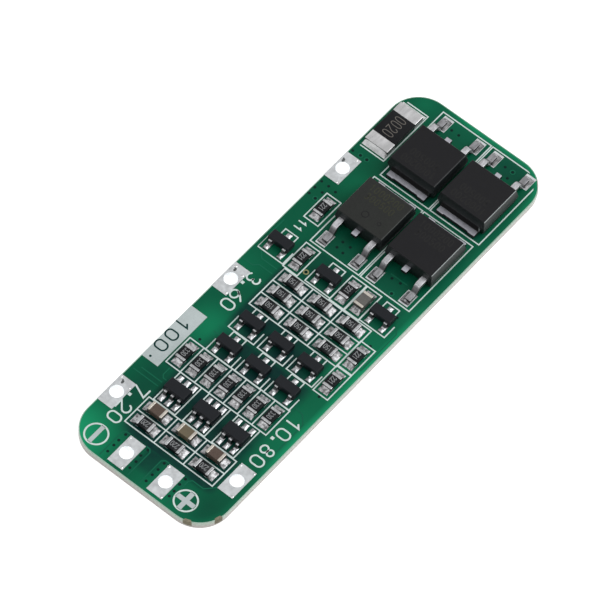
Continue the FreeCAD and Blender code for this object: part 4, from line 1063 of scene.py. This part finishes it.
TRACES = (
    ((-18.85, 9.3), (-18.85, 5.9)),
    ((-18.20, 8.7), (-18.20, 5.9)),
    ((-17.70, 5.7), (-17.70, 6.1), (-17.35, 6.4), (-16.3, 6.4)),
    ((-29.3, 5.05), (-25.7, 5.05), (-25.35, 4.7), (-25.35, 4.25)),
    ((-29.3, 1.15), (-25.7, 1.15), (-25.35, 1.45), (-25.35, 1.9)),
    ((-29.3, -0.40), (-25.7, -0.40), (-25.35, -0.75), (-25.35, -1.25)),
    ((-29.3, -4.20), (-25.7, -4.20), (-25.35, -4.5), (-25.35, -6.0), (-24.3, -7.0)),
    ((-19.2, -8.95), (-12.4, -8.95), (-11.4, -8.1), (-11.2, -7.0)),
    ((-0.35, 9.5), (-0.35, 8.1), (0.15, 7.6), (0.15, 5.8)),
    ((1.6, 8.5), (0.95, 7.9), (0.95, 5.8)),
    ((-9.6, 5.8), (-9.6, 4.6)),
    ((-3.0, -8.9), (-3.0, -9.3), (3.0, -9.3), (3.6, -8.9)),
    ((4.6, 9.3), (6.4, 9.3)),
    ((8.7, -4.0), (8.7, -6.2)),
)

# Break-off marks: middle and half of the angle that each takes of its rounded corner, in degrees
TAB_MARKS = ((200.5, 7.5), (251.5, 7.2))

# Beads of tin near the corners of the wire lands, and flux smudges beside three of the holes
BEADS = (
    (-21.1, 7.95), (-20.55, 9.55), (-20.55, -7.15), (-20.5, -8.95), (-24.1, -8.95), (-2.2, 8.05),
    (-1.7, 9.4), (-5.0, 7.95), (17.6, 8.2), (14.0, 8.05), (-29.1, 2.2), (-25.7, 3.9), (-29.1, -3.3),
    (-25.7, -1.5),
)
SMUDGES = ((-20.95, 9.05), (-2.1, 9.15), (16.7, 9.35))

VIAS = (
    (-28.5, 4.65), (-27.5, 4.65), (-26.7, 4.65), (-25.7, 4.55), (-28.5, 1.55), (-27.5, 1.55), (-26.6, 1.65),
    (-25.6, 1.5), (-28.6, -0.8), (-27.6, -0.8), (-26.7, -0.85), (-25.7, -0.85), (-28.4, -3.85),
    (-27.6, -3.85), (-25.7, -3.8), (7.45, 2.65), (8.4, 2.6), (7.3, 1.7), (8.4, 1.55), (8.3, -4.4),
    (8.4, -5.5), (4.75, -8.0), (-8.5, -8.0), (0.05, -8.1), (11.9, 9.45), (13.0, 9.4), (11.9, 8.4),
    (13.0, 8.4), (12.9, 7.35), (18.4, 9.4), (10.9, 9.45), (27.7, 2.85), (27.7, 1.85), (27.8, -4.65),
    (26.8, -5.75), (-11.4, 6.3),
)
RINGED = ((-26.6, -3.75), (6.75, -5.6), (10.8, 8.5), (18.45, 8.35), (18.45, 7.45), (27.8, -5.7))
GOLDEN = ((2.75, 3.15),)
UNDER_MASK = BOARD_TOP - 0.01
VIA_RADIUS, RING_RADIUS = 0.17, 0.27


def traces():
    """Edges of traces, which stand up a little under the mask."""
    bm = bmesh.new()
    for path in TRACES:
        ribbon(bm, path, 0.13, UNDER_MASK, BOARD_TOP + 0.012)
    piece("trace_edges", bm, mask_trace, "solder_mask", angle=30)


def outline_points(inset):
    """Board outline, set in by some millimetres."""
    points = []
    for sx, sy, start in ((1, 1, 0), (-1, 1, 90), (-1, -1, 180), (1, -1, 270)):
        x, y = sx * (HALF_LONG - CORNER), sy * (HALF_WIDE - CORNER)
        points += arc(x, y, CORNER - inset, start, start + 90, 12)
    return points


def board_marks():
    """Pale rim where the cut laminate shows past the mask, and the marks of the break-off tabs."""
    rim = bmesh.new()
    ribbon(rim, outline_points(0.05), 0.10, BOARD_TOP - 0.02, BOARD_TOP + 0.003, closed=True)
    piece("cut_rim", rim, bare_rim, "solder_mask", angle=30)
    x, y = HALF_LONG - CORNER, HALF_WIDE - CORNER
    proud, top = CORNER + 0.012, BOARD_TOP + 0.006
    marks = bmesh.new()
    for turn, half in TAB_MARKS:
        outer = arc(-x, -y, proud, turn - half, turn + half, 5)
        inner = arc(-x, -y, CORNER - 0.28, turn + half * 0.7, turn - half * 0.7, 5)
        prism(marks, outer + inner, 0.26, top)
    piece("break_off_marks", marks, burnt, "solder_mask", bevel=0.02, angle=40)
    rest = bmesh.new()
    prism(rest, arc(x, -y, proud, -65, -33), 0.05, top)
    piece("tab_rest", rest, raw_laminate, "solder_mask", bevel=0.02, angle=40)


def dome(bm, x, y, radius, high, squash):
    """Low bead on a wire land."""
    rings = []
    for fall, rise in ((1.0, 0.0), (0.86, 0.5), (0.55, 0.86), (0.15, 1.0)):
        z = LAND_TOP - 0.005 + high * rise
        rings.append([(x + u, y + v * squash, z) for u, v in circle(0, 0, radius * fall, 10)])
    loft(bm, rings)


def land_marks():
    """Tin beads and smudges on the wire lands."""
    beads = bmesh.new()
    for x, y in BEADS:
        dome(beads, x, y, rng.uniform(0.14, 0.20), 0.06, rng.uniform(0.8, 1.2))
    piece("tin_beads", beads, bead_metal, "solder", angle=60)
    smudges = bmesh.new()
    for x, y in SMUDGES:
        dome(smudges, x, y, 0.27, 0.03, 0.62)
        dome(smudges, x + 0.22, y + 0.14, 0.13, 0.02, 0.8)
    piece("flux_smudges", smudges, soot, "solder", angle=60)


def vias():
    """Small plated vias: a dark disc each, painted shade of a dimple, and a low ring round some."""
    dots = bmesh.new()
    for x, y in VIAS + RINGED + GOLDEN:
        prism(dots, circle(x, y, VIA_RADIUS, 14), UNDER_MASK, BOARD_TOP + 0.010)
    piece("via_dimple_shade", dots, hole_dark, "solder_mask", angle=30)
    for name, spots, wide, look, slot in (("via_rings", RINGED, 0.12, mask_trace, "solder_mask"),
                                          ("via_open_ring", GOLDEN, 0.14, golden, "tinned_copper")):
        rings = bmesh.new()
        for x, y in spots:
            ribbon(rings, circle(x, y, RING_RADIUS, 20), wide, UNDER_MASK, BOARD_TOP + 0.02, closed=True)
        piece(name, rings, look, slot, angle=30)


traces()
board_marks()
land_marks()
vias()


# Stage, light and camera

FLOOR_HALF = 1500
CAMERA_PLACE = (-0.252303, -0.180221, 0.494255)
CAMERA_TURN = (32.1079, -2.4368, -50.335)
CAMERA_LENS = 322.8


def seen_plainly(tree, strength):
    """Strength for what the camera sees, directly, in metal or through glass."""
    path = tree.nodes.new("ShaderNodeLightPath")
    seen = calc(tree, "MAXIMUM", path.outputs["Is Camera Ray"], path.outputs["Is Glossy Ray"])
    seen = calc(tree, "MAXIMUM", seen, path.outputs["Is Transmission Ray"])
    return calc(tree, "MULTIPLY", seen, strength)


def stage():
    """Pale floor that the camera sees as white but for the board's own shadow."""
    bm = bmesh.new()
    prism(bm, rectangle(-FLOOR_HALF, FLOOR_HALF, -FLOOR_HALF, FLOOR_HALF), -5.0, -0.01)
    material, tree, shader = principled("pale_floor", (0.78, 0.78, 0.78), rough=0.9, specular=0.0)
    shader.inputs["Emission Color"].default_value = (1, 1, 1, 1)
    tree.links.new(seen_plainly(tree, 0.72), shader.inputs["Emission Strength"])
    floor = to_object("floor", bm, material, smooth=False)


def world():
    """Even pale surroundings."""
    surroundings = bpy.data.worlds.new("studio")
    surroundings.use_nodes = True
    background = surroundings.node_tree.nodes["Background"]
    background.inputs["Color"].default_value = (1, 1, 1, 1)
    background.inputs["Strength"].default_value = 0.5
    bpy.context.scene.world = surroundings


def lamp(name, location, size, watts):
    """Square area lamp aimed at the board. Place and size in metres."""
    light = bpy.data.lights.new(name, "AREA")
    light.shape = "SQUARE"
    light.size = size
    light.energy = watts
    obj = bpy.data.objects.new(name, light)
    obj.location = location
    obj.rotation_euler = Vector(location).to_track_quat("Z", "Y").to_euler()
    bpy.context.scene.collection.objects.link(obj)


def shoot():
    """Camera in the photo's place. Places in metres and turns in degrees."""
    data = bpy.data.cameras.new("camera")
    data.sensor_width = 36
    data.lens = CAMERA_LENS
    data.clip_start = 0.05
    data.clip_end = 20
    camera = bpy.data.objects.new("camera", data)
    camera.location = CAMERA_PLACE
    camera.rotation_euler = [math.radians(angle) for angle in CAMERA_TURN]
    bpy.context.scene.collection.objects.link(camera)
    bpy.context.scene.camera = camera
    bpy.context.scene.view_settings.view_transform = "Standard"


stage()
world()
lamp("key", (0.30, -0.30, 0.52), 0.56, 2.35)
lamp("side", (-0.36, 0.05, 0.50), 0.20, 0.35)
shoot()
